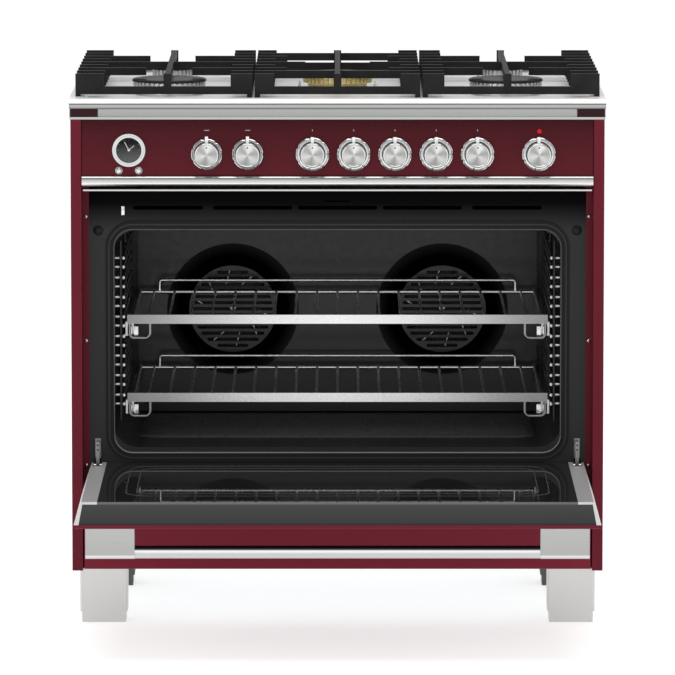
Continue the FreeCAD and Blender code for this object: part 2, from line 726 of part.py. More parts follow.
def make_ladders():
    """Wire side frames: each shelf guide is a pair of rungs that stand in from the oven's wall."""
    wires = []
    behind_rungs = "-ladder_x + 6 - 1.8 * wire"
    for deep in ("ladder_front", "(ladder_front + ladder_back) / 2", "ladder_back"):
        wires.append(rod(
            f"upright_{len(wires)}", "wire", "mouth_high - mouth_low - 64",
            (behind_rungs, f"face_y + {deep}", "mouth_low + mouth_corner + 4"),
        ))
    for step in range(GUIDE_COUNT):
        for sign in (-1, 1):
            height = f"{guide_height(step)} + {sign} * guide_half_gap"
            name = f"rung_{step}_{sign}"
            wires.append(rod(
                name, "wire", "ladder_back - ladder_front + 2 * wire",
                ("-ladder_x + 6", "face_y + ladder_front - wire", height), "Y",
            ))
            for end in ("ladder_front", "ladder_back"):
                wires.append(rod(
                    f"{name}_{end}", "wire", "mouth_width / 2 - ladder_x + 6 - wire",
                    ("-mouth_width / 2 + wire", f"face_y + {end}", height), "X",
                ))
    node(both_sides("ladders", fuse("ladder", wires)), "shelf_ladders")
    rails = []
    for label, step in RACK_GUIDES.items():
        rail = box(
            label + "_fixed_rail", ("6.8", "rack_back - rack_front - 30", "24"),
            ("-ladder_x + 6 + wire", "face_y + rack_front + 20", f"{guide_height(step)} - 28"),
        )
        rails.append(both_sides(label + "_fixed_rails", rail))
    node(group("fixed_rails", rails), "runner_rails")


def bend(name, across, wire, at, start):
    """A quarter turn of wire in an upright plane, anticlockwise from a starting angle in degrees."""
    obj = doc.addObject("Part::Torus", name)
    obj.setExpression("Radius1", sized(across))
    obj.setExpression("Radius2", sized(wire))
    obj.Angle3 = 90
    place(obj, at, "-Y")
    obj.Placement.Rotation = obj.Placement.Rotation * FreeCAD.Rotation(FreeCAD.Vector(0, 0, 1), start)
    return obj


def guard_wires(label, level):
    """The raised wire along a rack's rear edge: a long bar, and a bent end and a post at its left."""
    y = "face_y + rack_back"
    left = "-guard_width / 2"
    bar = rod(
        label + "_guard", "wire", "guard_width - 2 * guard_bend",
        (f"{left} + guard_bend", y, f"{level} + guard_rise"), "X",
    )
    corner = bend(
        label + "_guard_bend", "guard_bend", "wire",
        (f"{left} + guard_bend", y, f"{level} + guard_rise - guard_bend"), 90,
    )
    post = rod(label + "_guard_post", "wire", "guard_rise - guard_bend", (left, y, level))
    return [bar], [corner, post]


def loop_wires(label, level):
    """The U-shaped stop wire that hangs at the left end of a rack's front trim."""
    y = "face_y + rack_front + 4"
    outer = "-rack_width / 2 + 4"
    inner = f"{outer} + loop_width"
    low = f"{level} - loop_drop"
    turn = f"{low} + loop_bend"
    return [
        rod(label + "_loop_outer", "wire", "loop_drop - loop_bend - 2", (outer, y, turn)),
        rod(label + "_loop_inner", "wire", "loop_drop - loop_bend - 2", (inner, y, turn)),
        rod(label + "_loop_low", "wire", "loop_width - 2 * loop_bend", (f"{outer} + loop_bend", y, low), "X"),
        bend(label + "_loop_bend_outer", "loop_bend", "wire", (f"{outer} + loop_bend", y, turn), 180),
        bend(label + "_loop_bend_inner", "loop_bend", "wire", (f"{inner} - loop_bend", y, turn), 270),
    ]


def make_racks():
    """Two racks of wire on sliding rails, each with a flat trim in front and a raised guard behind."""
    for label, step in RACK_GUIDES.items():
        level = f"({guide_height(step)} + 3.5)"
        wires_at = f"({level} + wire_lift)"
        depth = "rack_back - rack_front"
        pieces = [pad(
            label + "_trim", rectangle("rack_width", "3"), "rack_trim",
            ("-rack_width / 2", "face_y + rack_front", f"{level} - 1 - rack_trim / 2"),
        )]
        for i in range(-9, 10):
            pieces.append(rod(
                f"{label}_wire_{i}", "2.2", depth,
                (f"{i} * wire_pitch", "face_y + rack_front + 1", wires_at), "Y",
            ))
        for deep in ("rack_front + 12", "rack_back"):
            pieces.append(rod(
                f"{label}_cross_{len(pieces)}", "3.2", "rack_wires",
                ("-rack_wires / 2", f"face_y + {deep}", f"{wires_at} - 3"), "X",
            ))
        bar, corner = guard_wires(label, f"({wires_at} - 3)")
        side = corner + loop_wires(label, level)
        side.append(rod(
            label + "_side", "3.2", depth, ("-rack_wires / 2", "face_y + rack_front + 1", wires_at), "Y",
        ))
        side.append(box(
            label + "_slide", ("6", f"{depth} - 40", "20"),
            ("-ladder_x + 6 + wire + 7.4", "face_y + rack_front + 24", f"{guide_height(step)} - 26"),
        ))
        for deep in ("rack_front + 40", "rack_back - 40"):
            side.append(rod(
                f"{label}_post_{len(side)}", "2.4", "12 + wire_lift",
                ("-rack_wires / 2 - 1.6", f"face_y + {deep}", f"{guide_height(step)} - 8"),
            ))
        twins = [mirrored(piece.Name + "_twin", piece) for piece in side]
        node(fuse(label, pieces + bar + side + twins), label)


# Door, lying open: painted skin, frame, side strips, glass inside and out, hinges and the long handle.

def make_door():
    """The door's layers, from the painted skin below to the black inner glass on top."""
    length = "door_length"
    window = wide_box(
        "window_hole", ("window_width", "230", "20"), ("0", "door_near_y - 330", "door_under - 5"),
    )
    skin_low = pad(
        "skin_sheet", rectangle("door_skin_width", length), "door_skin_thick",
        ("-door_skin_width / 2", "door_tip_y", "door_under"),
    )
    fillet(skin_low, "skin_round", "3", lambda middle, way: abs(way[2]) < 0.01 and middle[2] < 0.1)
    node(cut("skin", skin_low, [window]), "door_skin")
    pane = wide_box(
        "window_pane", ("window_width - 1", "229", "glass_thick"),
        ("0", "door_near_y - 329.5", "door_under + 1.5"),
    )
    node(pane, "door_window_glass")

    strip_low = "door_under + door_skin_thick"
    height = "(door_top - door_under - door_skin_thick)"
    lean = "(door_skin_width - door_width) / 2"
    shell = pad(
        "frame_shell",
        [
            ("side_foot + 0.3", "0"), ("door_skin_width - side_foot - 0.3", "0"),
            (f"door_skin_width - {lean} - 2.3", f"{height} - glass_thick"),
            (f"{lean} + 2.3", f"{height} - glass_thick"),
        ],
        length, ("-door_skin_width / 2", "door_near_y", strip_low), axis="-Y",
    )
    hollow = wide_box(
        "frame_hollow", ("door_width - 72", f"{length} - 90", height),
        ("0", "door_tip_y + 14", "door_under + door_skin_thick"),
    )
    slot = wide_box(
        "hinge_slot", ("hinge_slot", "50", "30"), ("-hinge_x", "door_near_y - 49", "258"),
    )
    slots = both_sides("hinge_slots", slot)
    pin = rod(
        "hinge_pin_left", "hinge_pin", "hinge_slot + 6",
        ("-hinge_x - 3 - hinge_slot / 2", "face_y + pivot_deep", "pivot_height"), "X",
    )
    pins = both_sides("hinge_pins", pin)
    node(cut("frame", shell, [hollow, slots, pins]), "door_frame")
    strip = pad(
        "side_strip_left",
        [
            ("0", "0"), ("side_foot", "0"), (f"{lean} + 2", f"{height} - glass_thick"),
            (f"{lean} + side_strip", f"{height} - glass_thick"), (f"{lean} + side_strip", height),
            (lean, height),
        ],
        length, ("-door_skin_width / 2", "door_near_y", strip_low), axis="-Y",
    )
    strips = both_sides("strips", strip)
    node(cut("side_strips", strips, [slots, pins]), "door_side_strips")
    node(wide_box(
        "inner_pane", ("door_width - 2 * side_strip", length, "glass_thick"),
        ("0", "door_tip_y", "door_top - glass_thick"),
    ), "door_inner_glass")
    node(pins, "door_hinge_pins")


def make_handle():
    """A long bar held by a block bracket at each end, below the open door's tip."""
    bracket = pad(
        "bracket", rectangle("handle_bracket", "bracket_along"), "handle_drop",
        ("-handle_x - handle_bracket / 2", "door_tip_y + handle_edge", "door_under - handle_drop"),
    )
    fillet(bracket, "bracket_round", "4", lambda middle, way: abs(way[0]) > 0.99 and middle[2] < 1)
    node(both_sides("brackets", bracket), "door_handle_brackets")
    grip = pad(
        "grip", rectangle("2 * handle_x - handle_bracket", "bar_width"), "bar_height",
        ("-handle_x + handle_bracket / 2", "door_tip_y + handle_edge + 3", "door_under - handle_drop"),
    )
    fillet(grip, "grip_round", "6", along("x"))
    node(grip, "door_handle_bar")


def make_claws():
    """A fixed claw reaches through the front frame at each side, and the door's pin turns in its eye."""
    receiver = wide_box("receiver", ("claw_thick + 8", "60", "36"), ("-hinge_x", "frame_y + skin", "282"))
    arm = wide_box(
        "claw_arm", ("claw_thick", "frame_deep - 34 + skin + 20", "22"), ("-hinge_x", "face_y + 34", "290"),
    )
    stem = wide_box("claw_stem", ("claw_thick", "12", "48"), ("-hinge_x", "face_y + 34", "264"))
    eye = rod(
        "claw_eye", "hinge_pin + 0.05", "2 * claw_thick",
        ("-hinge_x - claw_thick", "face_y + pivot_deep", "pivot_height"), "X",
    )
    node(both_sides("claws", cut("claw", fuse("claw_solid", [receiver, arm, stem]), [eye])), "hinge_claws")


# Drawer below the oven.

def make_drawer():
    """A painted front and an open steel box that runs on the base pan's rails."""
    front = pad(
        "drawer_face", rectangle("drawer_width", "drawer_thick"), "drawer_top - drawer_low",
        ("-drawer_width / 2", "face_y", "drawer_low"),
    )
    fillet(front, "drawer_face_round", "3", lambda middle, way: middle[1] < 0.1)
    hollow = wide_box(
        "drawer_face_hollow",
        ("drawer_width - 3 * skin", "drawer_thick", "drawer_top - drawer_low - 3 * skin"),
        ("0", "face_y + 1.5 * skin", "drawer_low + 1.5 * skin"),
    )
    node(cut("drawer_panel", front, [hollow]), "drawer_front")
    outer = wide_box(
        "drawer_outer", ("drawer_box_width", "drawer_box_depth", "drawer_box_height"),
        ("0", "face_y + 1.5 * skin", "drawer_low + 6"),
    )
    inner = wide_box(
        "drawer_inner", ("drawer_box_width - 2 * skin", "drawer_box_depth - 2 * skin", "drawer_box_height"),
        ("0", "face_y + 2.5 * skin", "drawer_low + 6 + skin"),
    )
    wing = box(
        "drawer_wing", ("6", "drawer_box_depth - 60", "8"),
        ("-drawer_box_width / 2 - 5.5", "face_y + 1.5 * skin + 56", "drawer_low + 9"),
    )
    box_solid = fuse("drawer_box_solid", [outer, wing, mirrored("drawer_wing_twin", wing)])
    node(cut("drawer_tray", box_solid, [inner]), "drawer_box")


# Grates and burners.

def make_grate(label, centre, width, sides, crossbars, spine):
    """A cast grate: a low frame on feet, rows of slats at its sides, crossbars, and a bar front to back.

    Each side gives its short slats' length, the longer reach of some rows, and where its front foot stands.
    """
    left = f"({centre}) - ({width}) / 2"
    right = f"({centre}) + ({width}) / 2"
    front = "face_y + slat_front - slat_thick / 2"
    back = "face_y + slat_back - slat_thick / 2"
    top_bar = "grate_top - bar_depth"
    bars = []
    for end, y in (("front", front), ("back", back)):
        bars.append(box(f"{label}_{end}_rail", (width, "slat_thick", "grate_rail"), (left, y, "grate_low")))
        bars.append(wide_box(
            f"{label}_{end}_post", ("bar_depth", "slat_thick", "grate_top - grate_low"),
            (spine, y, "grate_low"),
        ))
    for side, (short, reaches, stand) in sides.items():
        at_left = side == "left"
        edge = left if at_left else f"{right} - slat_thick"
        bars.append(box(
            f"{label}_{side}_rail", ("slat_thick", "slat_back - slat_front", "grate_rail"),
            (edge, front, "grate_low"),
        ))
        for end, y, floor in (("front", front, stand), ("back", back, "hob_top")):
            bars.append(box(
                f"{label}_{side}_{end}_foot", ("slat_thick", "slat_thick", f"grate_low - {floor} + 5"),
                (edge, y, floor),
            ))
        for i in range(SLAT_ROWS):
            y = f"face_y + slat_back - {i} * slat_pitch - slat_thick / 2"
            bars.append(box(
                f"{label}_{side}_slat_{i}", (short, "slat_thick", "grate_top - grate_low - 4"),
                (left if at_left else f"{right} - {short}", y, "grate_low + 4"),
            ))
            if i in reaches:
                bars.append(box(
                    f"{label}_{side}_finger_{i}", (reaches[i], "slat_thick", "bar_depth"),
                    (left if at_left else f"{right} - {reaches[i]}", y, top_bar),
                ))
    for i in crossbars:
        y = f"face_y + slat_back - {i} * slat_pitch - slat_thick / 2"
        bars.append(box(f"{label}_crossbar_{i}", (width, "slat_thick", "bar_depth"), (left, y, top_bar)))
    bars.append(wide_box(
        f"{label}_spine", ("slat_thick", "slat_back - slat_front", "bar_depth"), (spine, front, top_bar),
    ))
    node(fuse(label, bars), label)


def make_grates():
    """Two side grates, each over a front and a rear burner, and a narrower one over the middle burner."""
    outer = ("outer_slat", {2: "outer_reach", 6: "outer_reach"}, "hob_top")
    inner = ("inner_slat", {2: "inner_reach", 6: "inner_reach"}, "deck")
    middle = ("centre_slat", {2: "centre_reach", 4: "centre_long_reach", 6: "centre_reach"}, "deck")
    make_grate(
        "grate_left", "-side_grate_x", "side_grate_width", {"left": outer, "right": inner}, (4,),
        "-burner_x",
    )
    make_grate(
        "grate_right", "side_grate_x", "side_grate_width", {"left": inner, "right": outer}, (4,), "burner_x",
    )
    make_grate("grate_centre", "0", "centre_grate_width", {"left": middle, "right": middle}, (1, 7), "0")


def burner_head(name, radius, at):
    """A burner's head: a narrow throat on the deck and a wider crown that the cap lies on."""
    profile = [
        ("0", "0"), (f"{radius} - 12", "0"), (f"{radius} - 12", "throat_height"),
        (f"{radius} - 3", "throat_height + 2"),
        (f"{radius} - 3", "throat_height + head_height"), ("0", "throat_height + head_height"),
    ]
    return turned(name, profile, at, "Z")


def burner_cap(name, radius, at):
    """A round cap with a softened rim."""
    profile = [
        ("0", "0"), (f"{radius} - 2", "0"), (radius, "2"), (radius, "cap_thick - 4"),
        (f"{radius} - 5", "cap_thick"), ("0", "cap_thick"),
    ]
    return turned(name, profile, at, "Z")


def make_burners():
    """Two large burners in front, two small ones behind and a brass one in the middle."""
    cap_low = "cap_top - cap_thick"
    heads = []
    kinds = (("front", "large_burner", "front_burner_deep"), ("rear", "small_burner", "rear_burner_deep"))
    for name, radius, deep in kinds:
        caps = []
        for side in (-1, 1):
            x, y = f"{side} * burner_x", f"face_y + {deep}"
            heads.append(burner_head(f"{name}_head_{side}", radius, (x, y, "deck")))
            caps.append(burner_cap(f"{name}_cap_{side}", radius, (x, y, cap_low)))
        node(group(name + "_caps", caps), f"burner_caps_{name}")
    node(group("heads", heads), "burner_heads")
    middle = ("0", "face_y + centre_burner_deep", "deck")
    node(burner_head("centre_head", "centre_burner", middle), "burner_head_centre")
    node(burner_cap("centre_cap", "centre_burner", (middle[0], middle[1], cap_low)), "burner_cap_centre")


def check_and_save():
    """Stops on any failed object or bad shape, then writes one file for each node."""
    doc.recompute()
    for obj in doc.Objects:
        if {"Invalid", "Error"} & set(obj.State):
            raise RuntimeError(f"{obj.Name} failed: {obj.State}")
    for obj in nodes:
        if obj.Shape.isNull() or not obj.Shape.isValid() or not obj.Shape.Solids:
            raise RuntimeError(f"{obj.Label} has no valid solid")
    os.makedirs("parts", exist_ok=True)
    for obj in nodes:
        obj.Shape.exportStep(f"parts/{obj.Label}.step")
        print(f"{obj.Label}: {len(obj.Shape.Solids)} solids, {obj.Shape.Volume / 1000:.1f} cm3")
    print(len(nodes), "nodes")


make_side_panels()
make_back_and_base()
make_legs()
make_hob()
make_fascia()
make_bezels()
make_clock()
make_knobs()
make_valves()
make_liner()
make_front_frame()
make_baffle()
make_fans()
make_elements()
make_ladders()
make_racks()
make_door()
make_handle()
make_claws()
make_drawer()
make_grates()
make_burners()
check_and_save()
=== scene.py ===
"""Looks for the freestanding gas range: a finish for every part of the frame, and the fine pieces around it.

Places are in metres and come from the frame. Sizes of fine pieces are in millimetres, scaled by MM.
"""

import math

import bmesh
import bpy
from mathutils import Matrix, Vector


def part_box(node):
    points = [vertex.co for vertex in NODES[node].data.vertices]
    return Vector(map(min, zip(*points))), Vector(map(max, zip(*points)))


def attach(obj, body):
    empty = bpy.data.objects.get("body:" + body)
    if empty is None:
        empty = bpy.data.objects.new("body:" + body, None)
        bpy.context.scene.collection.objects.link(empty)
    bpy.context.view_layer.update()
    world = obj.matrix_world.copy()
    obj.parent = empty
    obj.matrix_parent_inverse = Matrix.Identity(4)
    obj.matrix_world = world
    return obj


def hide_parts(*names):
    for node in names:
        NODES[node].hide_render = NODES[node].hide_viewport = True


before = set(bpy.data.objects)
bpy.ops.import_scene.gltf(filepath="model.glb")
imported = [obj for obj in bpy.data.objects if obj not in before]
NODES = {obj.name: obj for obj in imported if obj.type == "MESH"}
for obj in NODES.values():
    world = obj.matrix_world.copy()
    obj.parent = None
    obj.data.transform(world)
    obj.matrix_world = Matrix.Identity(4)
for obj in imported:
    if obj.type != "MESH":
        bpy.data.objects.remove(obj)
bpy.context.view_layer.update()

MM = 0.001
ROOT = "range_body"
OVEN_KNOBS = ("function_knob", "temperature_knob")
KNOBS = OVEN_KNOBS + (
    "burner_knob_1", "burner_knob_2", "burner_knob_3", "burner_knob_4", "burner_knob_5", "warmer_knob",
)
SIDES = ((-1, "left"), (1, "right"))
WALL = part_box("knob_bezels")[1].y  # the fascia's face, on which knobs and clock sit


def middle(node):
    """Centre of a CAD node's box."""
    low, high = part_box(node)
    return (low + high) / 2


def facing(node, depth=WALL):
    """The centre of a CAD node's box, moved to another depth."""
    centre = middle(node)
    return Vector((centre.x, depth, centre.z))


# ---------------------------------------------------------------- camera and studio

def make_camera():
    """A long lens far in front and a little above, tilted down at the range."""
    distance, height, tilt = 11.153, 1.8465, 6.905
    face_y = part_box("side_panel_left")[0].y
    data = bpy.data.cameras.new("camera")
    data.lens = 352.05
    data.sensor_width = 36
    data.clip_end = 200
    camera = bpy.data.objects.new("camera", data)
    camera.location = (0, face_y - distance, height)
    camera.rotation_euler = (math.radians(90 - tilt), 0, 0)
    bpy.context.scene.collection.objects.link(camera)
    bpy.context.scene.camera = camera


def area_light(name, place, aim, size, power):
    """A rectangular soft light that faces a point."""
    data = bpy.data.lights.new(name, "AREA")
    data.shape = "RECTANGLE"
    data.size, data.size_y = size
    data.energy = power
    light = bpy.data.objects.new(name, data)
    light.location = place
    light.rotation_euler = (Vector(aim) - Vector(place)).to_track_quat("-Z", "Y").to_euler()
    bpy.context.scene.collection.objects.link(light)
    return light


def make_world():
    """Even white surroundings that grow darker overhead, so that bright metal shows its curves."""
    world = bpy.data.worlds.new("studio")
    world.use_nodes = True
    tree = world.node_tree
    background = tree.nodes["Background"]
    background.inputs["Color"].default_value = (1, 1, 1, 1)
    place = tree.nodes.new("ShaderNodeTexCoord")
    parts = tree.nodes.new("ShaderNodeSeparateXYZ")
    tree.links.new(place.outputs["Generated"], parts.inputs["Vector"])
    tree.links.new(spread(tree, parts.outputs["Z"], 1.0, 0.25, 0.15, 0.75), background.inputs["Strength"])
    bpy.context.scene.world = world


def make_floor():
    """A wide, plain, pale floor."""
    half = 60
    mesh = bpy.data.meshes.new("floor")
    corners = [(-half, -half, 0), (half, -half, 0), (half, half, 0), (-half, half, 0)]
    mesh.from_pydata(corners, [], [(0, 1, 2, 3)])
    floor = bpy.data.objects.new("floor", mesh)
    bpy.context.scene.collection.objects.link(floor)
    mat, shader = principled("floor_white", (0.95, 0.95, 0.95), 0.9)
    shader.inputs["Emission Color"].default_value = (1, 1, 1, 1)
    shader.inputs["Emission Strength"].default_value = 0.62
    shader.inputs["Specular IOR Level"].default_value = 0
    mesh.materials.append(mat)


def make_studio():
    """Surroundings, floor and three soft lights. Metal doesn't mirror the one in front."""
    make_world()
    make_floor()
    area_light("top_soft", place=(0, -0.9, 3.6), aim=(0, 0, 0.6), size=(3, 2), power=52)
    area_light("left_soft", place=(-3.4, -4.2, 2.4), aim=(0, 0, 0.5), size=(1.2, 2.4), power=16)
    fill = area_light("front_fill", place=(0, -4.5, 0.5), aim=(0, 0, 0.35), size=(2.4, 0.8), power=16)
    fill.visible_glossy = False
    bpy.context.scene.view_settings.view_transform = "Standard"


# ---------------------------------------------------------------- shader helpers

RAMP_START, RAMP_END = 0.3, 0.7  # noise seldom leaves this range, so ramps run across it
MIX_FACTOR, MIX_FIRST, MIX_SECOND, MIX_RESULT = 0, 6, 7, 2  # a mix node's colour sockets share their names


def principled(name, colour, rough, metal=0.0):
    """A new material with its principled shader set to plain values."""
    mat = bpy.data.materials.new(name)
    mat.use_nodes = True
    shader = mat.node_tree.nodes["Principled BSDF"]
    shader.inputs["Base Color"].default_value = (*colour, 1)
    shader.inputs["Roughness"].default_value = rough
    shader.inputs["Metallic"].default_value = metal
    return mat, shader


def noise(tree, scale, stretch):
    """Noise over the object's own coordinates; a large stretch number packs it tighter along that axis."""
    place = tree.nodes.new("ShaderNodeTexCoord")
    mapping = tree.nodes.new("ShaderNodeMapping")
    mapping.inputs["Scale"].default_value = stretch
    texture = tree.nodes.new("ShaderNodeTexNoise")
    texture.inputs["Scale"].default_value = scale
    texture.inputs["Detail"].default_value = 3
    tree.links.new(place.outputs["Object"], mapping.inputs["Vector"])
    tree.links.new(mapping.outputs["Vector"], texture.inputs["Vector"])
    return texture.outputs["Fac"]


def spread(tree, factor, low, high, start=RAMP_START, end=RAMP_END):
    """Maps a factor that runs from start to end onto values from low to high."""
    node = tree.nodes.new("ShaderNodeMapRange")
    for key, number in (("From Min", start), ("From Max", end), ("To Min", low), ("To Max", high)):
        node.inputs[key].default_value = number
    tree.links.new(factor, node.inputs["Value"])
    return node.outputs["Result"]


def own_place(tree, axis):
    """The object's own coordinate along one axis, in metres."""
    place = tree.nodes.new("ShaderNodeTexCoord")
    parts = tree.nodes.new("ShaderNodeSeparateXYZ")
    tree.links.new(place.outputs["Object"], parts.inputs["Vector"])
    return parts.outputs[axis]


def calculate(tree, operation, first, second=None):
    """One step of arithmetic on shader values."""
    step = tree.nodes.new("ShaderNodeMath")
    step.operation = operation
    for socket, value in zip(step.inputs, (first, second)):
        if isinstance(value, (int, float)):
            socket.default_value = value
        elif value is not None:
            tree.links.new(value, socket)
    return step.outputs[0]


def recolour(mat, factor, stops):
    """Makes a material's colour run through stops of (position, colour) as the factor rises."""
    tree = mat.node_tree
    ramp = tree.nodes.new("ShaderNodeValToRGB")
    points = ramp.color_ramp.elements
    for position, colour in stops[1:-1]:
        points.new(position)
    for point, (position, colour) in zip(points, stops):
        point.position = position
        point.color = (*colour, 1)
    tree.links.new(factor, ramp.inputs["Fac"])
    tree.links.new(ramp.outputs["Color"], tree.nodes["Principled BSDF"].inputs["Base Color"])


def lay_over(mat, factor, colour):
    """Lays a plain colour over a material's own where the factor is high."""
    tree = mat.node_tree
    base = tree.nodes["Principled BSDF"].inputs["Base Color"]
    mix = tree.nodes.new("ShaderNodeMix")
    mix.data_type = "RGBA"
    tree.links.new(factor, mix.inputs[MIX_FACTOR])
    tree.links.new(base.links[0].from_socket, mix.inputs[MIX_FIRST])
    mix.inputs[MIX_SECOND].default_value = (*colour, 1)
    tree.links.new(mix.outputs[MIX_RESULT], base)


def roughen(tree, shader, factor, strength, distance):
    """Adds a fine surface relief."""
    bump = tree.nodes.new("ShaderNodeBump")
    bump.inputs["Strength"].default_value = strength
    bump.inputs["Distance"].default_value = distance
    tree.links.new(factor, bump.inputs["Height"])
    tree.links.new(bump.outputs["Normal"], shader.inputs["Normal"])


def finish(name, first, second, rough, metal=0.0, scale=40, stretch=(1, 1, 1), relief=0.1, depth=0.0002,
           fine=600, coat=0.0, specular=0.5):
    """A finish whose colour and roughness drift between two values, with a fine relief."""
    mat, shader = principled(name, first, rough[0], metal)
    tree = mat.node_tree
    grain = noise(tree, fine, stretch)
    recolour(mat, noise(tree, scale, stretch), ((RAMP_START, first), (RAMP_END, second)))
    tree.links.new(spread(tree, grain, rough[0], rough[1]), shader.inputs["Roughness"])
    roughen(tree, shader, grain, relief, depth)
    shader.inputs["Coat Weight"].default_value = coat
    shader.inputs["Coat Roughness"].default_value = 0.08
    shader.inputs["Specular IOR Level"].default_value = specular
    return mat


# ---------------------------------------------------------------- materials

def brushed(name, tone, rough, way, anisotropy=0.5):
    """Brushed steel with its grain along one axis: x, y or z."""
    stretch = [0.02 if axis == way else 1 for axis in "xyz"]
    darker = tuple(value * 0.94 for value in tone)
    mat = finish(name, darker, tone, rough, 1.0, 60, stretch, relief=0.012, depth=0.00003, fine=900)
    mat.node_tree.nodes["Principled BSDF"].inputs["Anisotropic"].default_value = anisotropy
    return mat


def enamel(name, first, second, fleck, gloss):
    """Vitreous enamel: dark, glossy, slightly wavy, with pale pinhead flecks."""
    mat = finish(
        name, first, second, gloss, scale=6, relief=0.03, depth=0.0003, fine=90, coat=0.12, specular=0.4)
    tree = mat.node_tree
    place = tree.nodes.new("ShaderNodeTexCoord")
    cells = tree.nodes.new("ShaderNodeTexVoronoi")
    cells.inputs["Scale"].default_value = 320
    tree.links.new(place.outputs["Object"], cells.inputs["Vector"])
    lay_over(mat, spread(tree, cells.outputs["Distance"], 1, 0, 0.06, 0.12), fleck)
    return mat


def tinted_glass(name, colour, alpha, coat):
    """Thin glass with a sharp reflection; alpha says how much it hides."""
    lighter = tuple(value * 1.2 for value in colour)
    mat = finish(name, colour, lighter, (0.02, 0.05), scale=4, relief=0.0005, coat=coat)
    mat.node_tree.nodes["Principled BSDF"].inputs["Alpha"].default_value = alpha
    return mat


def turned_face():
    """Spun metal brushed in circles, with painted highlights: its colour runs lighter and darker in three
    wedges round the disc.
    """
    mat = finish("turned_face", (0.5, 0.5, 0.495), (0.56, 0.56, 0.555), (0.26, 0.34), 1.0, 60, relief=0.01)
    tree = mat.node_tree
    shader = tree.nodes["Principled BSDF"]
    angle = calculate(tree, "ARCTAN2", own_place(tree, "X"), own_place(tree, "Z"))
    # painted highlight: the colour rises and falls three times round the centre
    painted_highlight_fans = calculate(tree, "SINE", calculate(tree, "ADD", calculate(tree, "MULTIPLY", angle, 3), 0.9))
    painted_highlight_tones = ((RAMP_START, (0.36, 0.36, 0.355)), (RAMP_END, (0.66, 0.66, 0.655)))
    recolour(mat, spread(tree, painted_highlight_fans, RAMP_START, RAMP_END, -1, 1), painted_highlight_tones)
    tangent = tree.nodes.new("ShaderNodeTangent")
    tangent.direction_type = "RADIAL"
    tangent.axis = "Y"
    tree.links.new(tangent.outputs["Tangent"], shader.inputs["Tangent"])
    shader.inputs["Anisotropic"].default_value = 0.75
    return mat


def clock_face_finish():
    """A dial in painted shade: black at its top, fading to grey at its foot."""
    mat = finish("clock_face", (0.01, 0.01, 0.01), (0.014, 0.014, 0.014), (0.3, 0.4), scale=60, relief=0.001,
                 specular=0.15)
    tree = mat.node_tree
    top, foot = 0.012, -0.022
    # painted shade, darkest at the top of the dial
    painted_shade_drop = spread(tree, own_place(tree, "Z"), RAMP_START, RAMP_END, top, foot)
    recolour(mat, painted_shade_drop, ((RAMP_START, (0.002, 0.0022, 0.0022)), (RAMP_END, (0.13, 0.135, 0.135))))
    return mat


def ring_shade_finish():
    """Painted shade of the recess round a fan grille: deep black towards the middle of the ring, fading back
    at its outer edge.
    """
    mat = finish(
        "ring_shade", (0.002, 0.002, 0.002), (0.004, 0.004, 0.004), (0.5, 0.7), scale=30, relief=0.03,
        specular=0)
    tree = mat.node_tree
    place = tree.nodes.new("ShaderNodeTexCoord")
    length = tree.nodes.new("ShaderNodeVectorMath")
    length.operation = "LENGTH"
    tree.links.new(place.outputs["Object"], length.inputs[0])
    fade_start, fade_end = 0.096, 0.117
    edge = spread(tree, length.outputs["Value"], RAMP_START, RAMP_END, fade_start, fade_end)
    recolour(mat, edge, ((RAMP_START, (0.0006, 0.0006, 0.0006)), (RAMP_END, (0.02, 0.02, 0.0205))))
    return mat


